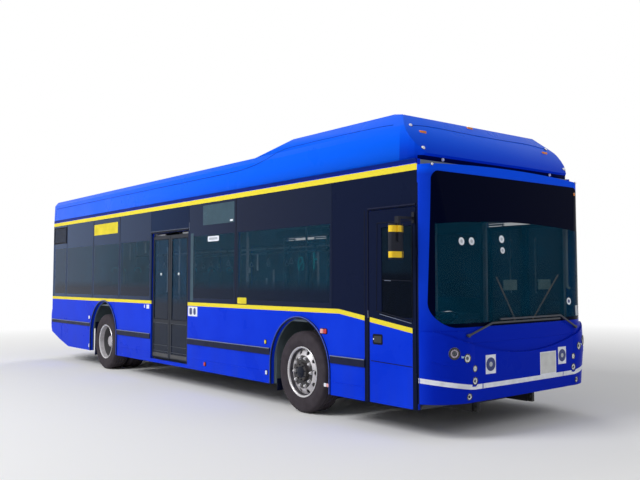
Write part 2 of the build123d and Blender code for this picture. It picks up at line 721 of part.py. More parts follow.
with BuildPart() as cab_door_glass:
    box_between(
        (CAB_WINDOW_X[0] + SEAT_GAP, CAB_WINDOW_X[1] - SEAT_GAP),
        mirrored(RIGHT, HALF - 14, HALF - 6),
        (CAB_WINDOW_Z[0] + SEAT_GAP, CAB_WINDOW_Z[1] - SEAT_GAP),
    )
store(cab_door_glass, "cab_door_glass")

MIRROR_SIZE = (70.0, 160.0, 350.0)
MIRROR_AT = (5165.0, 1500.0, 1935.0)
MIRROR_ROOT_Z = 2165.0
with BuildPart() as mirror_right:
    x, y, z = MIRROR_AT
    with Locations((x, RIGHT * y, z)):
        Box(*MIRROR_SIZE)
    fillet(mirror_right.edges().filter_by(Axis.Z), 25)
    box_between(
        (5190, 5225), mirrored(RIGHT, HALF + SEAT_GAP, HALF + 12), (2120, 2230)
    )
    box_between((5195, 5220), mirrored(RIGHT, HALF + 12, y + 15), (2155, 2180))
    box_between((x, 5220), mirrored(RIGHT, y - 15, y + 15), (z, 2180))
store(mirror_right, "mirror_right")

# the left mirror hangs from an arm swept back from the front pillar
LEFT_MIRROR_AT = (5028.0, 1500.0, 2225.0)
LEFT_ARM_ROOT_X = 5200.0
with BuildPart() as mirror_left:
    x, y, z = LEFT_MIRROR_AT
    arm_z = z + MIRROR_SIZE[2] / 2 + 10
    with Locations((x, LEFT * y, z)):
        Box(*MIRROR_SIZE)
    fillet(mirror_left.edges().filter_by(Axis.Z), 25)
    with BuildSketch(Plane.XY.offset(arm_z)):
        with BuildLine():
            Polyline(
                (LEFT_ARM_ROOT_X + 30, LEFT * (HALF + SEAT_GAP)),
                (LEFT_ARM_ROOT_X, LEFT * (HALF + SEAT_GAP)),
                (x - 15, LEFT * y),
                (x + 15, LEFT * (y + 15)),
                close=True,
            )
        make_face()
    extrude(amount=25)
    with Locations((x, LEFT * (y + 2), z)):
        Cylinder(12, 2 * (arm_z - z) + 10)
store(mirror_left, "mirror_left")

# ---------------------------------------------------------------- wheels
OUTER_Y = TYRE_FACE_Y - TYRE_W / 2
INNER_Y = OUTER_Y - TYRE_W - TWIN_GAP
# half of a tyre's section: distance from its middle, from the axis
TYRE_PROFILE = ((112, BEAD_R), (136, 350), (137, 405), (128, 452), (100, TYRE_R))
SPINDLE_R = 45.0
RIM_HALF = 118.0
RIM_T = 12.0
HAND_HOLES = 10
HAND_HOLE_R = 27.0
HAND_HOLE_CIRCLE_R = 234.0


def wheel_plane(axle_x):
    """Plane through a wheel's axis, drawn as (y, distance from the axis)."""
    return Plane(origin=(axle_x, 0, TYRE_R), x_dir=(0, 1, 0), z_dir=(1, 0, 0))


def wheel_axis(axle_x):
    return Axis((axle_x, 0, TYRE_R), (0, 1, 0))


for side, side_name in ((LEFT, "left"), (RIGHT, "right")):
    for axle_x, axle_name, tyre_ys in (
        (FRONT_AXLE_X, "front", (OUTER_Y,)),
        (REAR_AXLE_X, "rear", (OUTER_Y, INNER_Y)),
    ):
        with BuildPart() as tyre:
            for y in tyre_ys:
                with BuildSketch(wheel_plane(axle_x)):
                    with BuildLine():
                        Polyline(
                            *[(side * y + u, v) for u, v in TYRE_PROFILE],
                            *[(side * y - u, v) for u, v in reversed(TYRE_PROFILE)],
                            close=True,
                        )
                    make_face()
                revolve(axis=wheel_axis(axle_x))
        store(tyre, f"{axle_name}_tyre_{side_name}")

    # front rim: disc bulging outwards, hub proud of it
    def out(y):
        return side * (OUTER_Y + y)

    with BuildPart() as front_rim:
        with BuildSketch(wheel_plane(FRONT_AXLE_X)):
            with BuildLine():
                Polyline(
                    (out(-RIM_HALF), BEAD_R - SEAT_GAP),
                    (out(RIM_HALF), BEAD_R - SEAT_GAP),
                    (out(RIM_HALF), BEAD_R - RIM_T),
                    (out(70), BEAD_R - RIM_T - 8),
                    (out(112), 190),
                    (out(112), 115),
                    (out(145), 105),
                    (out(145), 0),
                    (out(110), 0),
                    (out(110), SPINDLE_R + SEAT_GAP),
                    (out(-40), SPINDLE_R + SEAT_GAP),
                    (out(-40), 80),
                    (out(98), 90),
                    (out(98), 190),
                    (out(52), BEAD_R - RIM_T - 12),
                    (out(-RIM_HALF), BEAD_R - RIM_T),
                    close=True,
                )
            make_face()
        revolve(axis=wheel_axis(FRONT_AXLE_X))
        with BuildSketch(side_plane(side, OUTER_Y + 30)):
            with Locations((FRONT_AXLE_X, TYRE_R)):
                with PolarLocations(HAND_HOLE_CIRCLE_R, HAND_HOLES):
                    Circle(HAND_HOLE_R)
        extrude(amount=outward(side, RIM_HALF), mode=Mode.SUBTRACT)
    store(front_rim, f"front_rim_{side_name}")

    with BuildPart() as rear_rim:
        with BuildSketch(wheel_plane(REAR_AXLE_X)):
            with BuildLine():
                Polyline(
                    (out(RIM_HALF), BEAD_R - SEAT_GAP),
                    (out(RIM_HALF), BEAD_R - RIM_T),
                    (out(-130), BEAD_R - RIM_T - 30),
                    (out(-142), 130),
                    (out(40), 100),
                    (out(40), 0),
                    (out(20), 0),
                    (out(20), SPINDLE_R + SEAT_GAP),
                    (side * (INNER_Y + 60), SPINDLE_R + SEAT_GAP),
                    (side * (INNER_Y + 60), 120),
                    (side * (INNER_Y + 125), 130),
                    (side * (INNER_Y + 115), BEAD_R - RIM_T - 30),
                    (side * (INNER_Y - RIM_HALF), BEAD_R - RIM_T),
                    (side * (INNER_Y - RIM_HALF), BEAD_R - SEAT_GAP),
                    close=True,
                )
            make_face()
        revolve(axis=wheel_axis(REAR_AXLE_X))
    store(rear_rim, f"rear_rim_{side_name}")

    # steering knuckle: ears above and below the axle's boss, kingpin and spindle
    with BuildPart() as knuckle:
        kingpin = (FRONT_AXLE_X, side * KINGPIN_Y)
        for z in (TYRE_R - 100, TYRE_R + 100):
            with Locations((*kingpin, z)):
                Cylinder(38, 40)
            box_between(
                (FRONT_AXLE_X - 38, FRONT_AXLE_X + 38),
                mirrored(side, KINGPIN_Y, KINGPIN_Y + 75),
                (z - 20, z + 20),
            )
        with Locations((*kingpin, TYRE_R)):
            Cylinder(14, 240)
        box_between(
            (FRONT_AXLE_X - 38, FRONT_AXLE_X + 38),
            mirrored(side, KINGPIN_Y + 50, KINGPIN_Y + 80),
            (TYRE_R - 120, TYRE_R + 120),
        )
        with BuildSketch(side_plane(side, KINGPIN_Y + 60)):
            with Locations((FRONT_AXLE_X, TYRE_R)):
                Circle(SPINDLE_R)
        extrude(amount=outward(side, OUTER_Y + 105 - KINGPIN_Y - 60))
    store(knuckle, f"knuckle_{side_name}")

BEAM_Z = (RAIL_TOP - RAIL[1] - 60, RAIL_TOP - RAIL[1])
with BuildPart() as front_axle:
    box_between((FRONT_AXLE_X - 60, FRONT_AXLE_X + 60), (-850, 850), BEAM_Z)
    for side in (LEFT, RIGHT):
        box_between(
            (FRONT_AXLE_X - 45, FRONT_AXLE_X + 45), mirrored(side, 790, 850), (BEAM_Z[0], TYRE_R + 50)
        )
        box_between(
            (FRONT_AXLE_X - 30, FRONT_AXLE_X + 30),
            mirrored(side, 840, KINGPIN_Y),
            (TYRE_R - 50, TYRE_R + 50),
        )
        with Locations((FRONT_AXLE_X, side * KINGPIN_Y, TYRE_R)):
            Cylinder(42, 150)
            Cylinder(14 + SEAT_GAP, 150, mode=Mode.SUBTRACT)
store(front_axle, "front_axle")

SPRING_R = 70.0
with BuildPart() as rear_axle:
    with BuildSketch(side_plane(LEFT, 0)):
        with Locations((REAR_AXLE_X, TYRE_R)):
            Circle(75)
    extrude(amount=INNER_Y + 50, both=True)
    with BuildSketch(side_plane(LEFT, 0)):
        with Locations((REAR_AXLE_X, TYRE_R)):
            Circle(SPINDLE_R)
    extrude(amount=OUTER_Y + 15, both=True)
    with BuildSketch(side_plane(LEFT, 0)):
        with Locations((REAR_AXLE_X, TYRE_R)):
            Circle(190)
    extrude(amount=150, both=True)
    for side in (LEFT, RIGHT):
        with BuildSketch(Plane.XY.offset(TYRE_R)):
            with Locations((REAR_AXLE_X, side * (RAIL_Y + RAIL[0] / 2))):
                Circle(SPRING_R)
        extrude(amount=RAIL_HIGH - RAIL[1] - TYRE_R)
store(rear_axle, "rear_axle")

# ---------------------------------------------------------------- driver's place
CAB_X = 4440.0  # rear of the driver's place
DASH_X = 5030.0
DASH_Z = (500.0, 1010.0)
DASH_LEFT_Y = 540.0  # left end, inside the open leaf of the front doorway

# driver's seat from the side: x and height over the floor, round the shell from the front
DRIVER_SHELL = (
    (5000.0, 360.0),
    (4985.0, 415.0),
    (4660.0, 395.0),
    (4615.0, 440.0),
    (4565.0, 1070.0),
    (4580.0, 1255.0),
    (4535.0, 1260.0),
    (4500.0, 1080.0),
    (4535.0, 410.0),
    (4600.0, 310.0),
)
DRIVER_SEAT_Y = 780.0
DRIVER_SEAT_W = 460.0
HEADREST = (1090.0, 130.0)  # height over the floor where it starts, half width
with BuildPart() as driver_seat:
    y = RIGHT * DRIVER_SEAT_Y
    box_between((4620, 4900), (y - 130, y + 130), (FLOOR_Z, FLOOR_Z + 340))
    with BuildSketch(side_plane(RIGHT, DRIVER_SEAT_Y)):
        with BuildLine():
            Polyline(*[(u, FLOOR_Z + v) for u, v in DRIVER_SHELL], close=True)
        make_face()
    extrude(amount=DRIVER_SEAT_W / 2, both=True)
    for beside in (LEFT, RIGHT):
        box_between(
            (4400, 4700),
            (y + beside * HEADREST[1], y + beside * DRIVER_SEAT_W),
            (FLOOR_Z + HEADREST[0], FLOOR_Z + 1400),
            mode=Mode.SUBTRACT,
        )
store(driver_seat, "driver_seat")

WHEEL_R = 225.0
WHEEL_AT = (5010.0, RIGHT * 780.0, 1120.0)
WHEEL_TILT = 25.0  # column leans back from the vertical
column_plane = Plane(
    origin=WHEEL_AT,
    x_dir=(0, 1, 0),
    z_dir=(-sin(radians(WHEEL_TILT)), 0, cos(radians(WHEEL_TILT))),
)

with BuildPart() as steering_wheel:
    with BuildSketch(column_plane):
        Circle(45)
    extrude(amount=15, both=True)
    with BuildSketch(column_plane):
        Rectangle(2 * WHEEL_R - 20, 40)
    extrude(amount=8, both=True)
    with BuildSketch(Plane(origin=WHEEL_AT, x_dir=column_plane.x_dir, z_dir=column_plane.y_dir)):
        with Locations((WHEEL_R, 0)):
            RegularPolygon(15, 8)
    revolve(axis=Axis(WHEEL_AT, tuple(column_plane.z_dir)))
store(steering_wheel, "steering_wheel")

with BuildPart() as dashboard:
    with BuildSketch(Plane.XZ):
        with BuildLine():
            Polyline(
                (5330, DASH_Z[0]),
                (5330, DASH_Z[1] - 20),
                (5200, DASH_Z[1]),
                (5060, DASH_Z[1] - 110),
                (5130, DASH_Z[0]),
                close=True,
            )
        make_face()
    extrude(amount=1090)
    with BuildSketch(Plane.XZ):
        rectangle_between((5270, 5325), (DASH_Z[0], DASH_Z[1] - 40))
    extrude(amount=-DASH_LEFT_Y)
    box_between((5140, 5240), (-1150, -560), (FLOOR_Z, DASH_Z[0]))
    with BuildSketch(column_plane):
        Circle(30)
    extrude(amount=-300)
    with BuildSketch(column_plane):
        Circle(60)
    extrude(amount=15 + SEAT_GAP, both=True, mode=Mode.SUBTRACT)
store(dashboard, "dashboard")

with BuildPart() as driver_partition:
    box_between((CAB_X - 40, CAB_X), (RIGHT * 1150, RIGHT * 480), (FLOOR_Z, 2000))
    box_between((CAB_X, 4980), (RIGHT * 510, RIGHT * 480), (FLOOR_Z, 1200))
store(driver_partition, "driver_partition")

# ---------------------------------------------------------------- saloon
# pairs of seats: x of the cushion's front edge, height of what they stand on, of the cushion
SEAT_ROWS = (
    (-2200.0, REAR_HOUSING[4], DECK_Z + 480),
    (-2900.0, REAR_HOUSING[4], DECK_Z + 480),
    (-3750.0, DECK_Z, DECK_Z + 430),
    (-4500.0, DECK_Z, DECK_Z + 430),
    (1350.0, FLOOR_Z, FLOOR_Z + 430),
    (2150.0, FLOOR_Z, FLOOR_Z + 430),
)
SEAT_Y = 690.0
SEAT_PAIR_W = 500.0
SEAT_SPLIT = 20.0  # between the two backs of a pair
# seat shell from the side: from the cushion's front edge back, from its top up
SEAT_SHELL = (
    (0.0, -30.0),
    (-20.0, 0.0),
    (-350.0, -15.0),
    (-390.0, 20.0),
    (-440.0, 430.0),
    (-450.0, 455.0),
    (-475.0, 440.0),
    (-428.0, -5.0),
    (-370.0, -60.0),
    (-25.0, -55.0),
)
# pedestal under a pair: rear, front
SEAT_FOOT = (-310.0, -190.0)

with BuildPart() as passenger_seats:
    for side in (LEFT, RIGHT):
        middle_y = SEAT_Y + SEAT_PAIR_W / 2
        for front_x, base_z, cushion_z in SEAT_ROWS:
            with BuildSketch(side_plane(side, middle_y)):
                with BuildLine():
                    Polyline(*[(front_x + u, cushion_z + v) for u, v in SEAT_SHELL], close=True)
                make_face()
            extrude(amount=SEAT_PAIR_W / 2, both=True)
            box_between(
                (front_x - 500, front_x - 380),
                mirrored(side, middle_y - SEAT_SPLIT / 2, middle_y + SEAT_SPLIT / 2),
                (cushion_z + 70, cushion_z + 500),
                mode=Mode.SUBTRACT,
            )
            box_between(
                (front_x + SEAT_FOOT[0], front_x + SEAT_FOOT[1]),
                mirrored(side, middle_y - 90, middle_y + 90),
                (base_z, cushion_z - 40),
            )
store(passenger_seats, "passenger_seats")

RAIL_POST_R = 17.0
CEILING_Z = GUTTER_Z - 5 - ROOF_T
POLE_X = (-3200.0, -1400.0, 800.0, 3700.0)
LEAF_REACH_Y = PIVOT_Y - PIVOT_W + LEAF_END  # where an open leaf's edge stands
GRAB_Y = LEAF_REACH_Y - 20 - RAIL_POST_R
GRAB_Z = 2000.0
with BuildPart() as handrails:
    for side in (LEFT, RIGHT):
        for x in POLE_X:
            floor_z = DECK_Z if x < DECK_X else FLOOR_Z
            with Locations((x, side * GRAB_Y, (floor_z + CEILING_Z) / 2)):
                Cylinder(RAIL_POST_R, CEILING_Z - floor_z)
        # grab rails from pole to pole
        for rear, front in zip(POLE_X, POLE_X[1:]):
            with BuildSketch(across(rear + RAIL_POST_R + SEAT_GAP)):
                with Locations((side * GRAB_Y, GRAB_Z)):
                    Circle(RAIL_POST_R - 1)
            extrude(amount=front - rear - 2 * (RAIL_POST_R + SEAT_GAP))
store(handrails, "handrails")

with BuildPart() as destination_displays:
    box_between((5180, 5290), (-900, 900), (2290, 2560))
    box_between((5180, SHELL_X), (-300, 300), (2560, CEILING_Z))
    box_between((870, 1730), (RIGHT * (HALF - WALL - 80), RIGHT * (HALF - WALL)), (2330, 2620))
store(destination_displays, "destination_displays")

# ---------------------------------------------------------------- lamps and trim
# tail lamps: middle height, diameter
TAIL_LAMPS = ((1070.0, 110.0), (1210.0, 110.0), (1350.0, 110.0))
with BuildPart() as lamps:
    for side in (LEFT, RIGHT):
        for y, z, d, skin_x, turn in FRONT_LAMPS:
            with BuildSketch(lamp_plane(side, y, z, skin_x, turn).offset(-LAMP_INSET)):
                Circle(d / 2)
            extrude(amount=LAMP_INSET + SEAT_GAP - LAMP_DEPTH)
    for side in (LEFT, RIGHT):
        for z, d in TAIL_LAMPS:
            with BuildSketch(across(TAIL_X - 12)):
                with Locations((side * 1150, z)):
                    Circle(d / 2)
            extrude(amount=12)
store(lamps, "lamps")

RUB_Z = (637.0, 721.0)
RUB_REAR_Z = (722.0, 785.0)
DRIP_Z = (2302.0, 2316.0)  # rain rail over the driver's door
ARCH_TRIM = 28.0
TRIM_T = 12.0
with BuildPart() as side_trim:
    for side in (LEFT, RIGHT):
        skin = mirrored(side, HALF, HALF + TRIM_T)
        for axle_x, centre_z in ARCHES:
            with BuildSketch(side_plane(side, HALF)):
                for r, mode in ((ARCH_R + ARCH_TRIM, Mode.ADD), (ARCH_R, Mode.SUBTRACT)):
                    with Locations((axle_x, centre_z)):
                        Circle(r, mode=mode)
                    rectangle_between((axle_x - r, axle_x + r), (SKIRT_Z, centre_z), mode=mode)
                rectangle_between((axle_x - 1000, axle_x + 1000), (-200, SKIRT_Z), mode=Mode.SUBTRACT)
            extrude(amount=outward(side, TRIM_T))
        front_arch = FRONT_AXLE_X + ARCH_R + ARCH_TRIM
        rear_arch = REAR_AXLE_X - ARCH_R - ARCH_TRIM
        box_between((WALL_REAR_X + 5, rear_arch - 2), skin, RUB_REAR_Z)
        box_between(
            (REAR_AXLE_X + ARCH_R + ARCH_TRIM + 2, double_doorway_edges(-200)[0] - 15), skin, RUB_Z
        )
        box_between(
            (double_doorway_edges(-200)[1] + 15, FRONT_AXLE_X - ARCH_R - ARCH_TRIM - 2), skin, RUB_Z
        )
        if side == RIGHT:
            box_between((front_arch + 2, CAB_DOOR_X[0] - 60), skin, RUB_Z)
            box_between(CAB_DOOR_X, skin, DRIP_Z)
    for side in (LEFT, RIGHT):
        for x0, x1, y, low, top in (FRONT_HOUSING, REAR_HOUSING):
            box_between(
                (x0 + HOUSING_T + SEAT_GAP, x0 + HOUSING_T + 8), mirrored(side, 900, 1230), (200, low + 60)
            )
store(side_trim, "side_trim")

with BuildPart() as wipers:
    for pivot_y, (arm_y, arm_z), blade_end_y in WIPERS:
        with BuildSketch(across(WIPER_X - 60)):
            with Locations((pivot_y, WIPER_Z)):
                Circle(WIPER_SPINDLE_R)
        extrude(amount=60 + WIPER_T)
        rise = degrees(atan2(arm_z - WIPER_Z, arm_y - pivot_y))
        with BuildSketch(across(WIPER_X)):
            with Locations((pivot_y, WIPER_Z)):
                Circle(18)
            with Locations(((pivot_y + arm_y) / 2, (WIPER_Z + arm_z) / 2)):
                Rectangle(hypot(arm_y - pivot_y, arm_z - WIPER_Z), 18, rotation=rise)
            rectangle_between((arm_y, blade_end_y), (arm_z - 9, arm_z + 9))
        extrude(amount=WIPER_T)
store(wipers, "wipers")
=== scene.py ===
import functools
import json
import math

import bmesh
import bpy
from mathutils import Matrix, Vector
from mathutils.bvhtree import BVHTree


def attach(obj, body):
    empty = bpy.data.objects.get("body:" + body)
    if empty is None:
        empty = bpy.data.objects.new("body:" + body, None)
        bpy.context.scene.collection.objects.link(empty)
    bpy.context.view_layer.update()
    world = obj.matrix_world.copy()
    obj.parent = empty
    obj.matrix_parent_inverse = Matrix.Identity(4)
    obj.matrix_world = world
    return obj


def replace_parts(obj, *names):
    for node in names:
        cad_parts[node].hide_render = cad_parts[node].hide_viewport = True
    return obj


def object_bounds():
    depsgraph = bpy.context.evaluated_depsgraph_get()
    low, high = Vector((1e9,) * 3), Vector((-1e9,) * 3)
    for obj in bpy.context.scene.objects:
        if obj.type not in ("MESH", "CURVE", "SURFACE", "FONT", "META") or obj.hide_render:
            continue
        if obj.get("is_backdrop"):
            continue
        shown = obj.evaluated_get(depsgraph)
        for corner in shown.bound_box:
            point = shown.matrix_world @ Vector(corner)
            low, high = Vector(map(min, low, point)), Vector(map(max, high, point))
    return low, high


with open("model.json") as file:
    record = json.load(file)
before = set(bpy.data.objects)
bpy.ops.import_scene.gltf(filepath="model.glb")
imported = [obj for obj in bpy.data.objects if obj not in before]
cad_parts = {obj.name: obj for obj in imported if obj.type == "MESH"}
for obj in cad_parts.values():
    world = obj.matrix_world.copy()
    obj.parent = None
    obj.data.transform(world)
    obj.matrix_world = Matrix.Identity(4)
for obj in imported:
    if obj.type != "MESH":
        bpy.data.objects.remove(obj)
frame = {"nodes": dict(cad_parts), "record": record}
cad_low, cad_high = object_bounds()
nodes = frame["nodes"]
collection = bpy.context.scene.collection

LEFT, RIGHT = 1, -1
SIDES = {LEFT: "left", RIGHT: "right"}
HALF_W = 1.3  # half the width over the side walls
FRONT_X, REAR_X = 3.235, -2.765  # axles
AXLE_Z = 0.478

# --- camera, fitted to the photograph
CAMERA_AT = (10.589, -6.418, 1.590)
CAMERA_YAW = 0.8352
CAMERA_PITCH = 0.0622
CAMERA_ROLL = -0.0061
FOCAL_PX = 749.9
AXIS_PX = (395.0, 230.0)  # where the optical axis meets the picture
PICTURE = (640.0, 480.0)
SENSOR_MM = 36.0


def make_camera():
    sin, cos = math.sin, math.cos
    level = Vector((cos(CAMERA_YAW), sin(CAMERA_YAW), 0))
    forward = Vector((
        -sin(CAMERA_YAW) * cos(CAMERA_PITCH), cos(CAMERA_YAW) * cos(CAMERA_PITCH),
        sin(CAMERA_PITCH),
    ))
    above = level.cross(forward)
    right = cos(CAMERA_ROLL) * level + sin(CAMERA_ROLL) * above
    up = -sin(CAMERA_ROLL) * level + cos(CAMERA_ROLL) * above
    data = bpy.data.cameras.new("camera")
    data.sensor_width = SENSOR_MM
    data.lens = FOCAL_PX * SENSOR_MM / PICTURE[0]
    data.shift_x = -(AXIS_PX[0] - PICTURE[0] / 2) / PICTURE[0]
    data.shift_y = (AXIS_PX[1] - PICTURE[1] / 2) / PICTURE[0]
    camera = bpy.data.objects.new("camera", data)
    turn = Matrix((right, up, -forward)).transposed().to_4x4()
    camera.matrix_world = Matrix.Translation(CAMERA_AT) @ turn
    collection.objects.link(camera)
    bpy.context.scene.camera = camera


make_camera()


# --- materials
class Shader:
    """A Principled material with short helpers to build its node tree."""

    def __init__(self, name):
        self.material = bpy.data.materials.new(name)
        self.material.use_nodes = True
        self.tree = self.material.node_tree
        self.bsdf = self.tree.nodes["Principled BSDF"]
        self.point = self.node("TexCoord").outputs["Object"]
        split = self.node("SeparateXYZ")
        self.link(self.point, split.inputs[0])
        self.xyz = split.outputs

    def node(self, kind, **values):
        """New node, its number sockets set by name."""
        node = self.tree.nodes.new("ShaderNode" + kind)
        for name, value in values.items():
            self.put(value, node.inputs[name.replace("_", " ")])
        return node

    def link(self, source, target):
        self.tree.links.new(source, target)

    def put(self, value, target):
        """Sets a socket to a number or colour, or links another socket to it."""
        if isinstance(value, bpy.types.NodeSocket):
            self.link(value, target)
        elif isinstance(value, tuple) and target.type == "RGBA":
            target.default_value = (*value, 1)
        else:
            target.default_value = value

    def set(self, **values):
        for name, value in values.items():
            self.put(value, self.bsdf.inputs[name.replace("_", " ")])

    def math(self, operation, *values):
        node = self.node("Math")
        node.operation = operation
        for value, socket in zip(values, node.inputs):
            self.put(value, socket)
        return node.outputs[0]

    def above(self, value, limit):
        return self.math("GREATER_THAN", value, limit)

    def below(self, value, limit):
        return self.math("LESS_THAN", value, limit)

    def size(self, value):
        return self.math("ABSOLUTE", value)

    def between(self, value, low, high):
        return self.both(self.above(value, low), self.below(value, high))

    def both(self, *masks):
        """Product of masks or numbers."""
        return functools.reduce(lambda a, b: self.math("MULTIPLY", a, b), masks)

    def either(self, *masks):
        """Greatest of masks or numbers."""
        return functools.reduce(lambda a, b: self.math("MAXIMUM", a, b), masks)

    def negate(self, mask):
        return self.math("SUBTRACT", 1.0, mask)

    def distance(self, a, b):
        """Length of the vector with the parts a and b."""
        return self.math("SQRT", self.math("ADD", self.both(a, a), self.both(b, b)))

    def mix(self, mask, first, second):
        node = self.node("Mix")
        node.data_type = "RGBA"
        for value, socket in ((mask, 0), (first, 6), (second, 7)):
            self.put(value, node.inputs[socket])
        return node.outputs[2]

    def painted(self, colour, *coats):
        """Colour with coats of (mask, colour) over it, the last on top."""
        for mask, coat in coats:
            colour = self.mix(mask, colour, coat)
        return colour

    def noise(self, scale, detail=3.0, stretch=None):
        node = self.node("TexNoise", Scale=scale, Detail=detail)
        source = self.point
        if stretch:
            mapping = self.node("Mapping", Scale=stretch)
            self.link(source, mapping.inputs[0])
            source = mapping.outputs[0]
        self.link(source, node.inputs["Vector"])
        return node.outputs["Fac"]

    def ramp(self, value, low, high, to_low=0.0, to_high=1.0):
        node = self.node(
            "MapRange", Value=value, From_Min=low, From_Max=high, To_Min=to_low, To_Max=to_high
        )
        return node.outputs[0]

    def bump(self, height, strength, distance):
        node = self.node("Bump", Strength=strength, Distance=distance, Height=height)
        self.link(node.outputs[0], self.bsdf.inputs["Normal"])


def scaled(colour, factor):
    return tuple(factor * c for c in colour)


SIDE_BLUE = (0.0015, 0.033, 0.66)
SIDE_BLUE_DUSTY = (0.006, 0.048, 0.74)
SKIRT_DUST = (0.03, 0.05, 0.36)
# painted light: the cowl is painted a lighter blue than the sides for the sky light on it
COWL_SKYLIT_BLUE = (0.003, 0.120, 0.93)
COWL_SHADE = (0.001, 0.005, 0.07)
# painted shade: the front is painted a darker blue than the sides
NOSE_SHADED_BLUE = (0.0015, 0.018, 0.46)
# painted light: the front's upper part with the A-pillars is painted lighter than its lower
# part
PILLAR_LIT_BLUE = (0.004, 0.045, 0.62)
# painted light: the header roll over the screen is painted lighter
HEADER_LIT_BLUE = (0.003, 0.085, 0.92)
# painted shade: the pod's front darkens towards its foot
POD_SHADED_BLUE = (0.002, 0.055, 0.72)
GUTTER_BLUE = (0.004, 0.016, 0.20)
JOINT_BLACK = (0.006, 0.010, 0.035)
BAND_BLACK = (0.0055, 0.010, 0.034)
# painted reflection: the band's colour at the rear, lighter and bluer
BAND_REAR_REFLECTION = (0.011, 0.040, 0.115)
BAND_X = (-5.4, 2.0)  # the band is painted lighter towards the rear, a painted sky reflection
YELLOW = (0.84, 0.70, 0.052)
WHITE = (0.87, 0.90, 0.98)
LINING = (0.16, 0.21, 0.23)
PAINT_GLOSS = 0.02

# stripes and the black band between them, heights
WAIST = (1.187, 1.238)
CANTRAIL = (2.650, 2.715)
GUTTER_Z = 2.765  # where the roof cowl starts
GUTTER_DARK = 2.722  # the strip between the upper stripe and the cowl is in shade
KINK_X = 4.005  # forward of this the waist stripe slopes down
SLOPE = (1.212 - 1.054) / (5.19 - 4.005)
SKIN_Y = 1.285  # further out than this is the outer skin
NOSE_FROM = 5.262  # the corner mouldings start here
INSIDE_X, INSIDE_Y, INSIDE_Z = (-5.49, 5.2), 1.262, 2.76  # the body is lined within these


def paint_material():
    """Blue bodywork with the black window band and the two yellow stripes."""
    s = Shader("body_paint")
    x, y, z = s.xyz
    skin = s.both(s.above(s.size(y), SKIN_Y), s.below(x, NOSE_FROM), s.below(z, GUTTER_Z))
    # height measured along the waist stripe, which bends down forward
    level = s.math("ADD", z, s.both(s.either(s.math("SUBTRACT", x, KINK_X), 0.0), SLOPE))
    band = s.both(skin, s.above(level, WAIST[1]), s.below(z, CANTRAIL[0]))
    stripes = s.either(s.between(level, *WAIST), s.between(z, *CANTRAIL))
    dust = s.ramp(s.noise(1.6, 4.0), 0.35, 0.75)
    streaks = s.ramp(s.noise(1.0, 3.0, (5.0, 5.0, 0.6)), 0.40, 0.75)
    nose = s.above(x, NOSE_FROM)
    # painted sky light on the cowl; painted shade down the pod's front and at its foot
    cowl = s.painted(
        COWL_SKYLIT_BLUE, (s.both(s.above(x, 5.0), s.ramp(z, 3.15, 2.85)), POD_SHADED_BLUE),
        (s.both(s.above(x, 5.22), s.below(z, 2.806)), COWL_SHADE),
    )
    door_joints = s.either(
        s.both(s.between(x, 4.447, 4.530), s.below(z, 2.300)), s.between(x, 5.182, 5.272)
    )
    inside = s.both(
        s.below(s.size(y), INSIDE_Y), s.between(x, *INSIDE_X), s.below(z, INSIDE_Z)
    )
    colour = s.painted(
        SIDE_BLUE,
        (dust, SIDE_BLUE_DUSTY),
        (s.both(s.ramp(z, 0.3, 0.95, 0.25, 0.0), streaks), SKIRT_DUST),
        # painted shade on the front, painted light on its upper part and the header
        (s.ramp(x, NOSE_FROM - 0.02, 5.40), NOSE_SHADED_BLUE),
        (s.both(nose, s.ramp(z, 1.0, 1.5)), PILLAR_LIT_BLUE),
        (s.both(nose, s.ramp(z, 2.60, 2.66)), HEADER_LIT_BLUE),
        (s.above(z, GUTTER_Z), cowl),
        # painted reflection: the band gets lighter towards the rear
        (band, s.mix(s.ramp(x, *BAND_X), BAND_REAR_REFLECTION, BAND_BLACK)),
        (s.both(skin, stripes), YELLOW),
        (s.both(skin, s.above(z, GUTTER_DARK)), GUTTER_BLUE),
        (s.both(s.below(y, -SKIN_Y), s.below(z, 2.52), door_joints), JOINT_BLACK),
        (inside, LINING),
    )
    s.set(Base_Color=colour, Specular_IOR_Level=PAINT_GLOSS)
    s.set(Roughness=s.ramp(dust, 0, 1, 0.26, 0.36))
    s.bump(s.noise(5.0, 1.5), 0.10, 0.004)
    return s.material


def plain(name, colour, roughness, grain=60.0, strength=0.05, gloss=0.5, **values):
    """One colour with a little variation of shade, gloss and surface grain."""
    s = Shader(name)
    wear = s.ramp(s.noise(grain / 8, 4.0), 0.3, 0.7)
    s.set(Base_Color=s.mix(wear, colour, scaled(colour, 0.8)), **values)
    s.set(Specular_IOR_Level=gloss)
    s.set(Roughness=s.ramp(wear, 0, 1, roughness * 0.9, min(1.0, roughness * 1.12)))
    s.bump(s.noise(grain * 8, 3.0), strength, 0.001)
    return s.material


TINT = (0.003, 0.034, 0.066)
# painted reflection: the side glass is tinted lighter and bluer towards the rear
REAR_REFLECTION_TINT = (0.008, 0.034, 0.085)
DEEP_TINT = (0.002, 0.008, 0.028)
DEEP_ALPHA, REAR_ALPHA = 0.90, 0.84
# clear parts of the side glass: rear edge, front edge, along the bus
CLEAR_X = (
    (-5.355, -4.745), (-4.655, -3.345), (-3.255, -2.135), (-2.045, -0.895), (0.495, 1.735),
    (1.825, 3.835),
)
CLEAR_Z = (1.300, 2.190)
REAR_WINDOW_X = -5.51  # further back is the rear window, which has no border
BACK_X = -5.45  # further back is the back of the bus
REAR_TINT_X = (-5.4, -1.6)  # over this stretch the painted reflection gives way to the plain tint
REAR_ALPHA_X = (-3.4, -1.2)  # and over this one the glass gets clearer


def side_frit(s):
    x, _, z = s.xyz
    clear = s.either(*[s.between(x, a, b) for a, b in CLEAR_X])
    return s.both(s.negate(s.both(clear, s.between(z, *CLEAR_Z))), s.above(x, REAR_WINDOW_X))


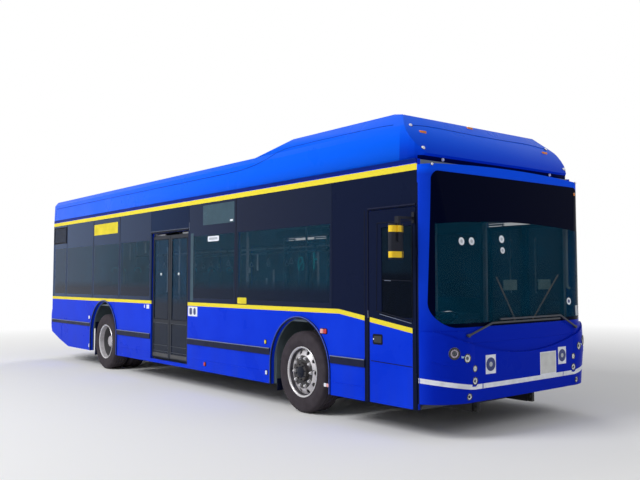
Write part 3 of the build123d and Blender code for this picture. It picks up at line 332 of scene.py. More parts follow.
def screen_frit(s):
    """The screen's black border is deep over the top, behind the display."""
    _, y, z = s.xyz
    top = s.math("MULTIPLY_ADD", s.both(y, y), -0.040, 2.165)
    under = s.below(s.math("SUBTRACT", z, top), 0.0)
    return s.negate(s.both(s.below(s.size(y), 1.20), s.above(z, 1.125), under))


def glass(
    name, clear_alpha, tint, frit=None, black=BAND_BLACK, gloss=0.07, deep=None,
    fade=(1.42, 1.56), far_alpha=None,
):
    """Tinted glass; the ceramic border that frit(shader) gives is opaque black.

    Below the heights in fade the tint goes over into deep. The left side and
    the back are tinted to far_alpha.
    """
    s = Shader(name)
    x, y, z = s.xyz
    haze = s.ramp(s.noise(3.0, 3.0), 0.35, 0.7)
    shade = s.mix(haze, tint, scaled(tint, 1.35))
    alpha = clear_alpha
    if frit == side_frit:
        # painted reflection, lighter towards the rear
        shade = s.mix(s.ramp(x, *REAR_TINT_X), REAR_REFLECTION_TINT, shade)
    if deep:
        shade = s.mix(s.ramp(z, *fade), deep, shade)
        alpha = s.ramp(z, *fade, DEEP_ALPHA, clear_alpha)
    if frit == side_frit:
        alpha = s.either(alpha, s.ramp(x, *REAR_ALPHA_X, REAR_ALPHA, clear_alpha))
    if far_alpha:
        far = s.either(s.above(y, 0.0), s.below(x, BACK_X))
        alpha = s.either(s.both(far, far_alpha), alpha)
    if frit:
        border = frit(s)
        # painted reflection: the border too gets lighter towards the rear
        rear = BAND_REAR_REFLECTION if black == BAND_BLACK else black
        shade = s.mix(border, shade, s.mix(s.ramp(x, *BAND_X), rear, black))
        alpha = s.either(border, alpha)
    s.set(Base_Color=shade, Alpha=alpha, Roughness=s.ramp(haze, 0, 1, 0.02, 0.06))
    s.set(Specular_IOR_Level=gloss, Specular_Tint=(0.45, 0.72, 1.0))
    return s.material


PAINT = paint_material()
SIDE_GLASS = glass("side_glass", 0.48, TINT, side_frit, deep=DEEP_TINT, far_alpha=0.93)
SCREEN_GLASS = glass(
    "screen_glass", 0.46, (0.001, 0.034, 0.068), screen_frit, (0.0004, 0.0012, 0.013), 0.015
)
DOOR_GLASS = glass(
    "door_glass", 0.50, (0.004, 0.038, 0.085), deep=(0.010, 0.016, 0.034), fade=(1.18, 1.36),
    far_alpha=0.91,
)
CAB_GLASS = glass(
    "cab_glass", 0.90, (0.003, 0.010, 0.020), gloss=0.03, deep=(0.002, 0.004, 0.010),
    fade=(1.60, 1.66),
)
BLACK = plain("black_gloss", (0.007, 0.010, 0.022), 0.28, gloss=0.12)
LEAF = plain("leaf_black", (0.009, 0.014, 0.026), 0.35, gloss=0.12)
WIPER = plain("wiper_black", (0.022, 0.026, 0.040), 0.45, 120)
TRIM = plain("rub_rail", (0.006, 0.010, 0.040), 0.5, 60, gloss=0.12)
TYRE = plain("tyre_rubber", (0.045, 0.037, 0.045), 0.8, 90, 0.18, gloss=0.2)
SILVER = plain("wheel_silver", (0.52, 0.50, 0.53), 0.42, 40, 0.04, Metallic=0.35)
BRIGHT = plain("bright_metal", (0.70, 0.69, 0.71), 0.28, 60, 0.03, Metallic=0.7)
CHASSIS = plain("chassis_black", (0.012, 0.012, 0.014), 0.55, 60, 0.1)
CAST = plain("cast_steel", (0.05, 0.05, 0.052), 0.6, 80, 0.25, Metallic=0.5)
FLOOR_COVER = plain("floor_cover", (0.08, 0.085, 0.095), 0.7, 300, 0.1)
LINING_MAT = plain("lining", LINING, 0.5, 60, 0.02)
DARK = plain("dark_plastic", (0.010, 0.012, 0.016), 0.55, 200, 0.2)
SEAT = plain("seat_shell", (0.010, 0.10, 0.13), 0.4, 100, 0.06)
TUBE = plain("rail_tube", (0.60, 0.63, 0.66), 0.3, 60, 0.03, Metallic=0.3)
HOUSING = plain("grey_housing", (0.04, 0.042, 0.048), 0.5, 90, 0.08)
LENS_WHITE = plain("lamp_lens", (0.62, 0.64, 0.68), 0.12, 60, 0.01)
YELLOW_PAINT = plain("yellow_paint", YELLOW, 0.45, 40, 0.02, gloss=PAINT_GLOSS)
WHITE_FILM = plain("white_film", WHITE, 0.45, 80, 0.02, gloss=0.2)
RED_LENS = plain("red_lens", (0.62, 0.02, 0.02), 0.15, 200, 0.1)
ORANGE_LENS = plain("orange_lens", (0.85, 0.22, 0.01), 0.15, 200, 0.1)
SEAL = plain("seal_black", (0.004, 0.006, 0.016), 0.6, 150, gloss=0.1)
GREY_LINE = plain("grey_line", (0.20, 0.24, 0.34), 0.4, 90, 0.03)
FILM_BLUE = plain("film_blue", (0.010, 0.025, 0.17), 0.4, 80, 0.02)
FILM_PALE = plain("film_pale", (0.46, 0.50, 0.56), 0.4, 80, 0.02)
RAIL_WHITE = plain("rail_white", (0.86, 0.93, 0.97), 0.3, 90, 0.03)

SLOT_MATERIALS = {
    "blue_paint": PAINT, "black_paint": BLACK, "glass": SIDE_GLASS, "tyre": TYRE, "rim": SILVER,
    "chassis_steel": CHASSIS, "cast_steel": CAST, "floor_cover": FLOOR_COVER,
    "interior": LINING_MAT, "dark_plastic": DARK, "seat": SEAT, "yellow_tube": TUBE,
    "rubber": TRIM, "lamp": LENS_WHITE, "housing": HOUSING,
}
NODE_MATERIALS = {
    "windscreen": SCREEN_GLASS, "windscreen_surround": PAINT, "cab_door_glass": CAB_GLASS,
    "destination_displays": DARK, "wipers": WIPER,
}


def dress(name, material):
    """Gives a CAD node its one material."""
    nodes[name].data.materials.clear()
    nodes[name].data.materials.append(material)


for part in frame["record"]["subparts"]:
    name = part["node"]
    material = NODE_MATERIALS.get(name, SLOT_MATERIALS[part["material_slot"]])
    if name.startswith("leaf_"):
        material = DOOR_GLASS if "glass" in name else LEAF
    dress(name, material)

# --- mesh helpers
SHARP = math.radians(35)
AXIS_X, AXIS_Z = Vector((1, 0, 0)), Vector((0, 0, 1))
NOSE_LIMIT = 5.590  # nothing stands ahead of the CAD nose


def add_piece(name, bm, materials, body="chassis"):
    """Finishes a mesh as a shown piece that rides on a body."""
    bmesh.ops.remove_doubles(bm, verts=bm.verts, dist=1e-5)
    bmesh.ops.recalc_face_normals(bm, faces=bm.faces)
    for vert in bm.verts:
        vert.co.x = min(vert.co.x, NOSE_LIMIT)
    mesh = bpy.data.meshes.new(name)
    bm.to_mesh(mesh)
    bm.free()
    for material in materials if isinstance(materials, tuple) else (materials,):
        mesh.materials.append(material)
    mesh.shade_smooth()
    mesh.set_sharp_from_angle(angle=SHARP)
    obj = bpy.data.objects.new(name, mesh)
    collection.objects.link(obj)
    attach(obj, body)
    return obj


def add_faces(bm, faces, mat):
    for face in faces:
        bm.faces.new(face).material_index = mat


def skin(bm, loops, ring=False, mat=0):
    """Closed surface through successive loops of points, capped unless it is a ring."""
    rows = [[bm.verts.new(p) for p in loop] for loop in loops]
    for a, b in zip(rows, rows[1:] + rows[:1] * ring):
        add_faces(bm, zip(a, a[1:] + a[:1], b[1:] + b[:1], b), mat)
    if not ring:
        add_faces(bm, (rows[0][::-1], rows[-1]), mat)


def axes_across(direction):
    """Two unit vectors square to a direction."""
    helper = AXIS_Z if abs(direction.z) < 0.9 else AXIS_X
    u = direction.cross(helper).normalized()
    return u, direction.cross(u).normalized()


def turns_of(count, start=0.0):
    """Angles of equal steps round a circle."""
    return [start + 2 * math.pi * i / count for i in range(count)]


def spread(start, end, count):
    """Equal steps from start to end."""
    return [start + (end - start) * i / count for i in range(count + 1)]


def about(middle, half):
    """Low and high limits at equal distances from a middle."""
    return middle - half, middle + half


def border(x, z, width):
    """The four (x, z) strips along the inside of a rectangle's edges."""
    (x0, x1), (z0, z1) = x, z
    return (
        (x, (z0, z0 + width)), (x, (z1 - width, z1)), ((x0, x0 + width), z),
        ((x1 - width, x1), z),
    )


def circle(centre, u, v, radius, sides):
    return [centre + radius * (math.cos(t) * u + math.sin(t) * v) for t in turns_of(sides)]


def lathe(bm, profile, centre, axis, sides, ring=False, mat=0):
    """Turns (distance along the axis, radius) points about an axis."""
    axis = Vector(axis).normalized()
    u, v = axes_across(axis)
    loops = [circle(Vector(centre) + d * axis, u, v, max(r, 1e-4), sides) for d, r in profile]
    skin(bm, loops, ring, mat)


def tube(bm, path, radius, sides=10, mat=0, flat=1.0):
    """Round bar along a path; flat squashes the section across the second direction."""
    points = [Vector(p) for p in path]
    loops = []
    for i, point in enumerate(points):
        before, after = points[max(i - 1, 0)], points[min(i + 1, len(points) - 1)]
        direction = (after - before).normalized()
        if i == 0:
            u, v = axes_across(direction)
        else:
            u = (u - u.dot(direction) * direction).normalized()
            v = direction.cross(u).normalized()
        loops.append([point + p for p in circle(Vector(), u, v * flat, radius, sides)])
    skin(bm, loops, mat=mat)


def rounded(u, v, r, steps=4):
    """Points of a rectangle with round corners; u and v are (low, high)."""
    points = []
    for quarter, (cu, cv) in enumerate((
        (u[1] - r, v[1] - r), (u[0] + r, v[1] - r), (u[0] + r, v[0] + r), (u[1] - r, v[0] + r),
    )):
        for i in range(steps + 1):
            t = math.pi / 2 * (quarter + i / steps)
            points.append((cu + r * math.cos(t), cv + r * math.sin(t)))
    return points


def shrink(outline, inset):
    """Outline moved in by a small step towards its middle."""
    cu, cv = (sum(values) / len(outline) for values in zip(*outline))
    out = []
    for u, v in outline:
        k = max(0.0, 1 - inset / math.hypot(u - cu, v - cv))
        out.append((cu + (u - cu) * k, cv + (v - cv) * k))
    return out


def plate(bm, outline, place, low, high, edge=0.0, mat=0):
    """Flat piece: place(u, v, depth) puts the outline at depths low and high."""
    levels = [(low, 0.0), (high - edge, 0.0)]
    if edge:
        levels.append((high, edge))
    loops = [[place(u, v, d) for u, v in shrink(outline, inset)] for d, inset in levels]
    skin(bm, loops, mat=mat)


def block(bm, x, y, z, bevel, mat=0, steps=2):
    """Box with rounded edges between pairs of coordinates."""
    made = bmesh.ops.create_cube(bm, size=1.0)["verts"]
    for vert in made:
        vert.co = [(a + b) / 2 + t * (b - a) for (a, b), t in zip((x, y, z), vert.co)]
    for face in {f for vert in made for f in vert.link_faces}:
        face.material_index = mat
    edges = list({e for vert in made for e in vert.link_edges})
    cut = bmesh.ops.bevel(
        bm, geom=edges, offset=bevel, segments=steps, affect="EDGES", profile=0.5
    )
    for face in cut["faces"]:
        face.material_index = mat


def side_plate(bm, side, x, z, radius, high, mat=0, low=-0.001, y=HALF_W, edge=0.0):
    """Rounded flat piece on a side wall."""

    def place(u, v, d):
        return Vector((u, side * (y + d), v))

    plate(bm, rounded(x, z, radius), place, low, high, edge, mat)


def side_bar(bm, side, points, radius, mat=0, y=HALF_W, proud=0.4):
    """Half-round moulding along (x, z) points on a side wall."""
    tube(bm, [(x, side * (y + proud * radius), z) for x, z in points], radius, 8, mat)


def tree_of(*names):
    """Search tree over the faces of CAD nodes, in the row's frame."""
    points, polygons = [], []
    for name in names:
        mesh = nodes[name].data
        start = len(points)
        points += [v.co.copy() for v in mesh.vertices]
        polygons += [[start + i for i in p.vertices] for p in mesh.polygons]
    return BVHTree.FromPolygons(points, polygons)


NOSE = tree_of("front_fascia", "windscreen_surround", "windscreen")
COWL = tree_of("roof_cowl")


def hit(tree, origin, direction, fallback):
    """Where a ray meets a tree, or the fallback if it misses."""
    point = tree.ray_cast(Vector(origin), Vector(direction))[0]
    return Vector(fallback) if point is None else point


def on_nose(y, z, lift=0.0):
    """Point on the front skin at (y, z), lifted along the bus."""
    return hit(NOSE, (7, y, z), (-1, 0, 0), (5.5, y, z)) + lift * AXIS_X


def draped(bm, rows, thickness, sink=0.002, mat=0):
    """Thin closed film over rows of (point, outward direction) on a surface."""
    front, back = (
        [[bm.verts.new(point + step * outward) for point, outward in row] for row in rows]
        for step in (thickness, -sink)
    )
    for a, b, c, d in zip(front, front[1:], back, back[1:]):
        add_faces(bm, zip(a, a[1:], b[1:], b), mat)
        add_faces(bm, zip(c, d, d[1:], c[1:]), mat)
        add_faces(bm, [(a[j], b[j], d[j], c[j]) for j in (0, -1)], mat)
    for i in (0, -1):
        add_faces(bm, zip(front[i], back[i], back[i][1:], front[i][1:]), mat)


def nose_patch(bm, y, z, columns, lines, mat=0, lift=0.0012):
    """Film on the front skin over a rectangle of y and z."""
    rows = [[(on_nose(a, b), AXIS_X) for a in spread(*y, columns)] for b in spread(*z, lines)]
    draped(bm, rows, lift, mat=mat)


def nose_disc(bm, y, z, radius, mat, thickness, sides=28):
    """Round film on the front skin."""
    loops = [
        [on_nose(y + r * math.cos(t), z + r * math.sin(t), lift) for t in turns_of(sides)]
        for r, lift in ((radius, -0.002), (radius, thickness), (0.6 * radius, thickness),
                        (0.2 * radius, thickness))
    ]
    skin(bm, loops, mat=mat)


# --- wheels
WHEEL_Y, INNER_WHEEL_Y = 1.1275, 0.8125  # middle planes of the tyres
# half a tyre's section: distance from its middle plane, radius
SIDEWALL = (
    (0.112, 0.288), (0.121, 0.300), (0.130, 0.325), (0.1365, 0.352), (0.1375, 0.378),
    (0.1368, 0.402), (0.1335, 0.430), (0.128, 0.452), (0.119, 0.466),
)
TREAD_R, GROOVE_R = 0.4765, 0.464
GROOVES = (-0.062, -0.021, 0.021, 0.062)
LUGS = 60
LUG_DEPTH = 0.010


def tread_profile():
    """Crown of the tyre from one shoulder to the other with its grooves."""
    section = ((-0.006, TREAD_R), (-0.004, GROOVE_R), (0.004, GROOVE_R), (0.006, TREAD_R))
    grooves = [(middle + d, r) for middle in GROOVES for d, r in section]
    return [(-0.104, TREAD_R - 0.0015), *grooves, (0.104, TREAD_R - 0.0015)]


def tyre(bm, x, y):
    """One tyre: sidewalls, grooved crown and cut shoulder lugs."""
    bead = [(0.106, 0.288), (0.100, 0.300), (-0.100, 0.300), (-0.106, 0.288)]
    profile = [(-d, r) for d, r in SIDEWALL] + tread_profile() + [*reversed(SIDEWALL), *bead]
    sides = 2 * LUGS
    loops = []
    for d, r in profile:
        shoulder = r > 0.46 and 0.09 < abs(d) < 0.125
        loop = []
        for i, t in enumerate(turns_of(sides, math.pi / sides)):
            cut_r = r - LUG_DEPTH if shoulder and i % 2 else r
            loop.append((x + cut_r * math.cos(t), y + d, AXLE_Z + cut_r * math.sin(t)))
        loops.append(loop)
    skin(bm, loops, ring=True)


for axle, wheel, x, centres in (
    ("front", "wheel_front", FRONT_X, (WHEEL_Y,)),
    ("rear", "wheels_rear", REAR_X, (WHEEL_Y, INNER_WHEEL_Y)),
):
    for side, side_name in SIDES.items():
        bm = bmesh.new()
        for y in centres:
            tyre(bm, x, side * y)
        name = f"{axle}_tyre_{side_name}"
        piece = add_piece("dressed_" + name, bm, TYRE, f"{wheel}_{side_name}")
        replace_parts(piece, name)

RIM_SILVER, RIM_METAL = (0.66, 0.64, 0.67), 0.25


def rim_material(name, x, bands):
    """Silver rim painted in rings from the outside in: (outer radius, colour, metallic)."""
    s = Shader(name)
    radius = s.distance(
        s.math("SUBTRACT", s.xyz[0], x), s.math("SUBTRACT", s.xyz[2], AXLE_Z)
    )
    colour, metal = RIM_SILVER, RIM_METAL
    for outer, shade, metallic in bands:
        mask = s.below(radius, outer)
        colour = s.mix(mask, colour, shade)
        metal = s.math("ADD", s.both(mask, metallic), s.both(s.negate(mask), metal))
    grime = s.ramp(s.noise(14.0, 4.0), 0.35, 0.75)
    colour = s.mix(s.both(grime, 0.35), colour, (0.10, 0.08, 0.08))
    s.set(Base_Color=colour, Metallic=metal, Roughness=s.ramp(grime, 0, 1, 0.30, 0.5))
    s.bump(s.noise(220.0, 2.0), 0.04, 0.0006)
    return s.material


def nut(bm, centre, axis, across, height, mat=0):
    """Hexagonal nut with a chamfered top and the stud through it."""
    r = across / math.sqrt(3)
    stud = [(height - 0.001, r * 0.42), (height + 0.008, r * 0.42), (height + 0.010, r * 0.3)]
    lathe(bm, [(0, r * 1.15), (0.003, r * 1.15)], centre, axis, 20, mat=mat)
    lathe(bm, [(0.002, r), (height * 0.8, r), (height, r * 0.8)], centre, axis, 6, mat=mat)
    lathe(bm, stud, centre, axis, 12, mat=mat)


def nut_ring(bm, x, y, radius, count, across, height, mat=0, start=0.0):
    """Nuts on a circle about a wheel's axis, facing out."""
    for t in turns_of(count, start):
        spot = (x + radius * math.cos(t), y, AXLE_Z + radius * math.sin(t))
        nut(bm, spot, (0, y, 0), across, height, mat)


RIM_LIP = (
    (0.116, 0.277), (0.124, 0.279), (0.129, 0.286), (0.130, 0.294), (0.126, 0.298),
    (0.118, 0.290),
)
VALVE = ((0.205, 1.224, 0.03), (0.215, 1.245, 0.03), (0.222, 1.262, 0.031))
# name, body and x of an axle, paint of its rims, depth and height of the wheel nuts,
# paint, depth and profile of the hub cover, its screws' depth, circle, first angle and
# material
WHEELS = (
    ("front", "wheel_front", FRONT_X,
     rim_material("front_rim_paint", FRONT_X, (
         (0.2745, (0.05, 0.05, 0.06), 0.2), (0.262, RIM_SILVER, RIM_METAL),
         (0.193, (0.006, 0.006, 0.008), 0.0),
     )),
     (0.112, 0.022), BLACK, 0.145,
     ((0, 0.066), (0.004, 0.066), (0.007, 0.060), (0.012, 0.034), (0.012, 0)),
     (0.145, 0.086, 0.2, 1)),
    ("rear", "wheels_rear", REAR_X,
     rim_material("rear_rim_paint", REAR_X, (
         (0.268, (0.10, 0.10, 0.11), 0.2), (0.248, RIM_SILVER, RIM_METAL),
         (0.112, (0.16, 0.16, 0.17), 0.3),
     )),
     (-0.142, 0.026), SILVER, 0.040,
     ((0, 0.092), (0.006, 0.092), (0.010, 0.086), (0.014, 0.050), (0.014, 0)),
     (0.046, 0.076, 0.0, 0)),
)
for side, side_name in SIDES.items():
    for axle, wheel, x, rim_paint, (nut_at, nut_h), hub_paint, hub_at, hub, screws in WHEELS:
        screw_at, screw_circle, first, mat = screws
        dress(f"{axle}_rim_{side_name}", rim_paint)
        bm = bmesh.new()
        nut_ring(bm, x, side * (WHEEL_Y + nut_at), 0.1675, 10, 0.033, nut_h)
        nut_ring(
            bm, x, side * (WHEEL_Y + screw_at), screw_circle, 8, 0.015, 0.006, mat, first
        )
        lathe(bm, hub, (x, side * (WHEEL_Y + hub_at), AXLE_Z), (0, side, 0), 40, mat=1)
        lathe(bm, RIM_LIP, (x, side * WHEEL_Y, AXLE_Z), (0, side, 0), 96, ring=True)
        if axle == "front":
            tube(bm, [(x + dx, side * y, AXLE_Z + dz) for dx, y, dz in VALVE], 0.005, 8, 1)
        add_piece(
            f"{axle}_wheel_fittings_{side_name}", bm, (BRIGHT, hub_paint),
            f"{wheel}_{side_name}",
        )

# --- front lamps
# y, z, diameter, x of the skin, turn towards the side, share of the radius that is dark
FRONT_LAMPS = (
    (1.080, 0.841, 0.120, 5.541, 26.0, 0.58), (0.940, 0.789, 0.090, 5.583, 6.0, 0.34),
    (0.830, 0.680, 0.070, 5.580, 0.0, 0.14), (0.830, 0.560, 0.080, 5.580, 0.0, 0.36),
    (0.900, 0.412, 0.070, 5.567, 6.0, 0.40),
)
LAMP_MATERIALS = (
    plain("lamp_dark", (0.010, 0.012, 0.020), 0.25, 200, 0.03),
    plain("reflector", (0.80, 0.82, 0.85), 0.16, 200, 0.05, Metallic=0.5),
    plain("warm_reflector", (0.62, 0.50, 0.60), 0.2, 200, 0.05, Metallic=0.3),
    plain("clear_lens", (0.30, 0.34, 0.40), 0.05, 200, 0.12, Alpha=0.10, gloss=0.3),
)


def front_lamp(bm, index, side, y, z, across, x, turn, core):
    """Dark bezel, reflecting bowl, bulb cap and clear cover."""
    angle = math.radians(turn)
    r = across / 2 - 0.0008

    def turned(profile, sides, ring=False, mat=0):
        axis = (math.cos(angle), side * math.sin(angle), 0)
        lathe(bm, profile, (x, side * y, z), axis, sides, ring, mat)

    turned([(-0.0045, r), (0.0015, r), (0.0032, r - 0.0025), (0.0032, r - 0.006),
            (-0.0045, r - 0.008)], 40, True)
    if index == 0:
        # wide painted surround of the headlamp's smaller opening
        turned([(-0.0046, r - 0.005), (0.0005, r - 0.007), (-0.0030, r - 0.020),
                (-0.0046, r - 0.021)], 40, True)
        r -= 0.012
    turned([(-0.0046, r - 0.007), (-0.0015, r - 0.008), (-0.0034, r * 0.58),
            (-0.0046, r * 0.5)], 40, True, 1 if index else 2)
    turned([(-0.0046, r * core), (-0.002, r * core), (-0.001, 0)], 28)
    if index in (2, 3):
        turned([(-0.0047, r * 0.55), (-0.0030, r * 0.5), (-0.0022, 0)], 28, mat=1)
    turned([(-0.0010, r - 0.0075), (0.0012, r * 0.75), (0.0024, r * 0.4), (0.0028, 0)], 36,
           mat=3)


bm = bmesh.new()
for side in SIDES:
    for index, lamp in enumerate(FRONT_LAMPS):
        front_lamp(bm, index, side, *lamp)
add_piece("front_lamp_optics", bm, LAMP_MATERIALS)


def strip_point(side, t, step):
    """Light strip between the two upper lamps, thinning inwards with t."""
    z = 0.808 - 0.006 * math.sin(t * math.pi) + step * (0.010 - 0.004 * t)
    return on_nose(side * (1.012 - 0.030 * t), z), AXIS_X


bm = bmesh.new()
for side in SIDES:
    rows = [[strip_point(side, t, step) for t in spread(0, 1, 8)] for step in (-1, 0, 1)]
    draped(bm, rows, 0.0025)
add_piece("day_light_strips", bm, plain("light_strip", (0.40, 0.62, 0.88), 0.2, 200))

# --- front stripe and beads
STRIPE_BREAKS = (-0.717, 0.627)
STRIPE_Z, STRIPE_H = 0.500, 0.048
CENTRE_X = 4.4  # middle of the round that the nose is seen from


def round_nose(turn, z):
    """Point on the nose's skin seen from its middle at an angle from straight ahead."""
    ray = Vector((math.cos(turn), math.sin(turn), 0))
    centre = Vector((CENTRE_X, 0, z))
    return hit(NOSE, centre + 3 * ray, -ray, centre + ray)


def stripe_point(turn, offset):
    """Point beside the stripe's middle line, level in front and rising round the corners."""
    past = max(0.0, abs(round_nose(turn, STRIPE_Z).y) - 0.83) / (1.30 - 0.83)
    point = round_nose(turn, STRIPE_Z + 0.078 * past ** 1.25 + offset)
    return point, Vector((math.cos(turn), math.sin(turn), 0))


bm = bmesh.new()
corner = math.atan2(1.2985, NOSE_FROM - CENTRE_X)
first, second = [math.atan2(y, on_nose(y, STRIPE_Z).x - CENTRE_X) for y in STRIPE_BREAKS]
for low, high, count in (
    (-corner, first - 0.004, 30), (first + 0.004, second - 0.004, 28),
    (second + 0.004, corner, 30),
):
    turns = spread(low, high, count)
    for offsets, lift in (
        ((-STRIPE_H / 2, -0.003), 0.0016), ((0.003, STRIPE_H / 2), 0.0016),
        ((-0.003, 0.003), 0.0008),
    ):
        rows = [[stripe_point(turn, offset) for turn in turns] for offset in offsets]
        draped(bm, rows, lift, 0.004)
add_piece("front_stripe", bm, WHITE_FILM)


def smooth_line(points, steps=8):
    """Catmull-Rom curve through pairs of coordinates."""
    run = [points[0], *points, points[-1]]
    out = []
    for corners in zip(run, run[1:], run[2:], run[3:]):
        for t in spread(0, 1, steps)[:-1]:
            out.append(tuple(
                0.5 * (2 * b + (c - a) * t + (2 * a - 5 * b + 4 * c - d) * t * t
                       + (3 * b - a - 3 * c + d) * t ** 3)
                for a, b, c, d in zip(*corners)
            ))
    return out + [points[-1]]


def nose_bead(bm, points, radius):
    """Half-round moulding on the front skin along a curve through points (y, z)."""
    tube(bm, [on_nose(y, z, -radius * 0.45) for y, z in smooth_line(points)], radius, 8)


bm = bmesh.new()
nose_bead(
    bm,
    [(-1.06, 1.010), (-0.99, 0.958), (-0.89, 0.934), (-0.435, 0.926), (0.146, 0.928),
     (0.70, 0.932), (0.89, 0.938), (0.99, 0.962), (1.06, 1.014)],
    0.0055,
)
UNDER_LAMPS = ((1.245, 0.770), (1.20, 0.742), (1.13, 0.722), (1.05, 0.716))
for side in SIDES:
    nose_bead(bm, [(side * y, z) for y, z in UNDER_LAMPS], 0.0045)
add_piece("front_beads", bm, PAINT)

# --- blank plate and films on the front
bm = bmesh.new()
nose_patch(bm, (0.205, 0.495), (0.523, 0.767), 10, 6, 0, 0.0004)
nose_patch(bm, (0.217, 0.483), (0.535, 0.755), 10, 6, 1, 0.0008)
plate_face = plain("plate_face", (0.70, 0.71, 0.70), 0.5, 60, 0.03, gloss=0.2)
add_piece("blank_plate", bm, (WHITE_FILM, plate_face))

bm = bmesh.new()
for y in (-0.600, 0.610):
    nose_patch(bm, about(y, 0.075), (0.612, 0.800), 6, 6)
    nose_disc(bm, y, 0.706, 0.068, 1, 0.0022)
    nose_disc(bm, y, 0.706, 0.024, 2, 0.0030, 20)
# discs on the windscreen: y, z, radius, radius and material of their middle
for y, z, r, inner, mat in (
    (-0.885, 1.941, 0.040, 0.018, 2), (-0.737, 1.945, 0.040, 0.018, 2),
    (-0.266, 1.979, 0.040, 0.018, 2), (-0.266, 1.860, 0.034, 0.0153, 2),
    (0.843, 1.299, 0.040, 0.020, 1),
):
    nose_disc(bm, y, z, r, 0, 0.0012)
    nose_disc(bm, y, z, inner, mat, 0.0020, 20)
nose_patch(bm, (0.975, 1.055), (1.130, 1.245), 4, 4, 2)
add_piece("front_films", bm, (WHITE_FILM, FILM_BLUE, FILM_PALE))


# --- side details
def side_films(name, materials, plates):
    """Films on the right side: x, z, corner radius, thickness, material index."""
    bm = bmesh.new()
    for x, z, radius, high, mat in plates:
        side_plate(bm, RIGHT, x, z, radius, high, mat)
    add_piece(name, bm, materials)


TEAL_FILM = plain("teal_film", (0.030, 0.075, 0.110), 0.3, 60, 0.03, gloss=0.12)
side_films("yellow_films", YELLOW_PAINT, (
    ((-3.27, -2.19), (2.372, 2.565), 0.004, 0.0012, 0),
    ((1.83, 2.055), (1.250, 1.330), 0.012, 0.0030, 0),
))
side_films("teal_films", TEAL_FILM, (
    ((0.865, 1.735), (2.335, 2.615), 0.015, 0.0012, 0),
    ((0.500, 0.585), (1.262, 2.235), 0.010, 0.0008, 0),
))
side_films("blank_labels", (WHITE_FILM, FILM_BLUE, FILM_PALE), (
    ((1.01, 1.325), (2.098, 2.172), 0.018, 0.0016, 0),
    ((1.62, 1.70), (2.352, 2.376), 0.006, 0.0016, 0),
    ((-0.985, -0.885), (1.108, 1.172), 0.006, 0.0016, 0),
    ((-1.075, -1.045), (1.118, 1.168), 0.004, 0.0016, 0),
    ((0.440, 0.720), (1.040, 1.178), 0.008, 0.0016, 0),
    ((0.485, 0.560), (1.062, 1.158), 0.020, 0.0024, 1),
    ((0.605, 0.675), (1.062, 1.158), 0.030, 0.0024, 1),
    ((1.05, 1.285), (2.120, 2.152), 0.010, 0.0024, 2),
))


def marker(bm, side, x, z, half_x, half_z, mats):
    """Marker lamp; mats are the materials of its lenses, rear to front."""
    side_plate(
        bm, side, about(x, half_x + 0.006), about(z, half_z + 0.006), half_z * 0.6, 0.006,
        edge=0.002,
    )
    step = 2 * half_x / len(mats)
    for i, mat in enumerate(mats):
        low = x - half_x + i * step
        side_plate(
            bm, side, (low + 0.001, low + step - 0.001), about(z, half_z), half_z * 0.5, 0.013,
            mat, edge=0.004,
        )


PALE_RED = plain("pale_red_lens", (0.85, 0.42, 0.40), 0.15, 200, 0.1)
MARKERS = (
    (3.726, 0.982, 0.060, 0.026, (2, 1)), (3.785, 0.385, 0.048, 0.020, (3, 2)),
    (0.961, 0.388, 0.026, 0.024, (1,)), (-3.424, 0.882, 0.028, 0.028, (3,)),
    (-3.403, 0.372, 0.026, 0.034, (3,)), (2.545, 0.415, 0.020, 0.026, (3,)),
    (2.520, 0.790, 0.018, 0.024, (4,)),
)
bm = bmesh.new()
for side in SIDES:
    for lamp in MARKERS:
        marker(bm, side, *lamp)
add_piece("side_markers", bm, (SEAL, RED_LENS, PALE_RED, WHITE_FILM, YELLOW_PAINT))

# grille at the rear top of the window band: frame and slats
bm = bmesh.new()
for side in SIDES:
    for x, z in border((-5.44, -4.72), (2.290, 2.612), 0.014):
        block(bm, x, (side * HALF_W, side * (HALF_W + 0.007)), z, 0.002)
    for z in spread(2.314, 2.588, 12):
        block(
            bm, (-5.428, -4.732), (side * HALF_W, side * (HALF_W + 0.005)), about(z, 0.006),
            0.0015, steps=1,
        )
add_piece("rear_side_grilles", bm, SEAL)

# mouldings: pale painted-highlight lines over the rub rails, skirt creases, lips of the wheel
# arches
RAIL_GAP = 0.617  # from an axle to the rub rail beside the arch
bm = bmesh.new()
for side in SIDES:
    spans = [
        (-5.46, REAR_X - RAIL_GAP, 0.781), (REAR_X + RAIL_GAP, -0.837, 0.717),
        (0.437, FRONT_X - RAIL_GAP, 0.717),
    ]
    if side == RIGHT:
        spans.append((FRONT_X + RAIL_GAP, 4.450, 0.717))
    for rear, front, z in spans:
        side_bar(bm, side, ((rear, z), (front, z)), 0.0055, 0, HALF_W + 0.010)
add_piece("rail_edge_highlights", bm, GREY_LINE)

ARCH_R = 0.606
# painted highlight: the arch lips are a lighter, greyer blue than the body
ARCH_LIP_HIGHLIGHT = plain("arch_lip_highlight", (0.05, 0.10, 0.50), 0.35, 60, 0.02, gloss=0.25)
bm = bmesh.new()
for side in SIDES:
    for rear, front in ((-2.10, -0.86), (0.47, 2.58), (3.88, 3.93 if side == LEFT else 4.43)):
        side_bar(bm, side, [(x, 0.432) for x in spread(rear, front, 12)], 0.0045, proud=-0.1)
    side_bar(bm, side, ((-4.91, 0.715), (-4.90, 0.43)), 0.004, proud=0.0)
    for x, z in ((FRONT_X, 0.522), (REAR_X, 0.594)):
        arc = [(x + ARCH_R * math.cos(t), z + ARCH_R * math.sin(t))
               for t in spread(math.pi, 0, 48)]
        line = [(x - ARCH_R, 0.292), *arc, (x + ARCH_R, 0.292)]
        side_bar(bm, side, line, 0.0065, 1, HALF_W + 0.010)
add_piece("side_mouldings", bm, (PAINT, ARCH_LIP_HIGHLIGHT))

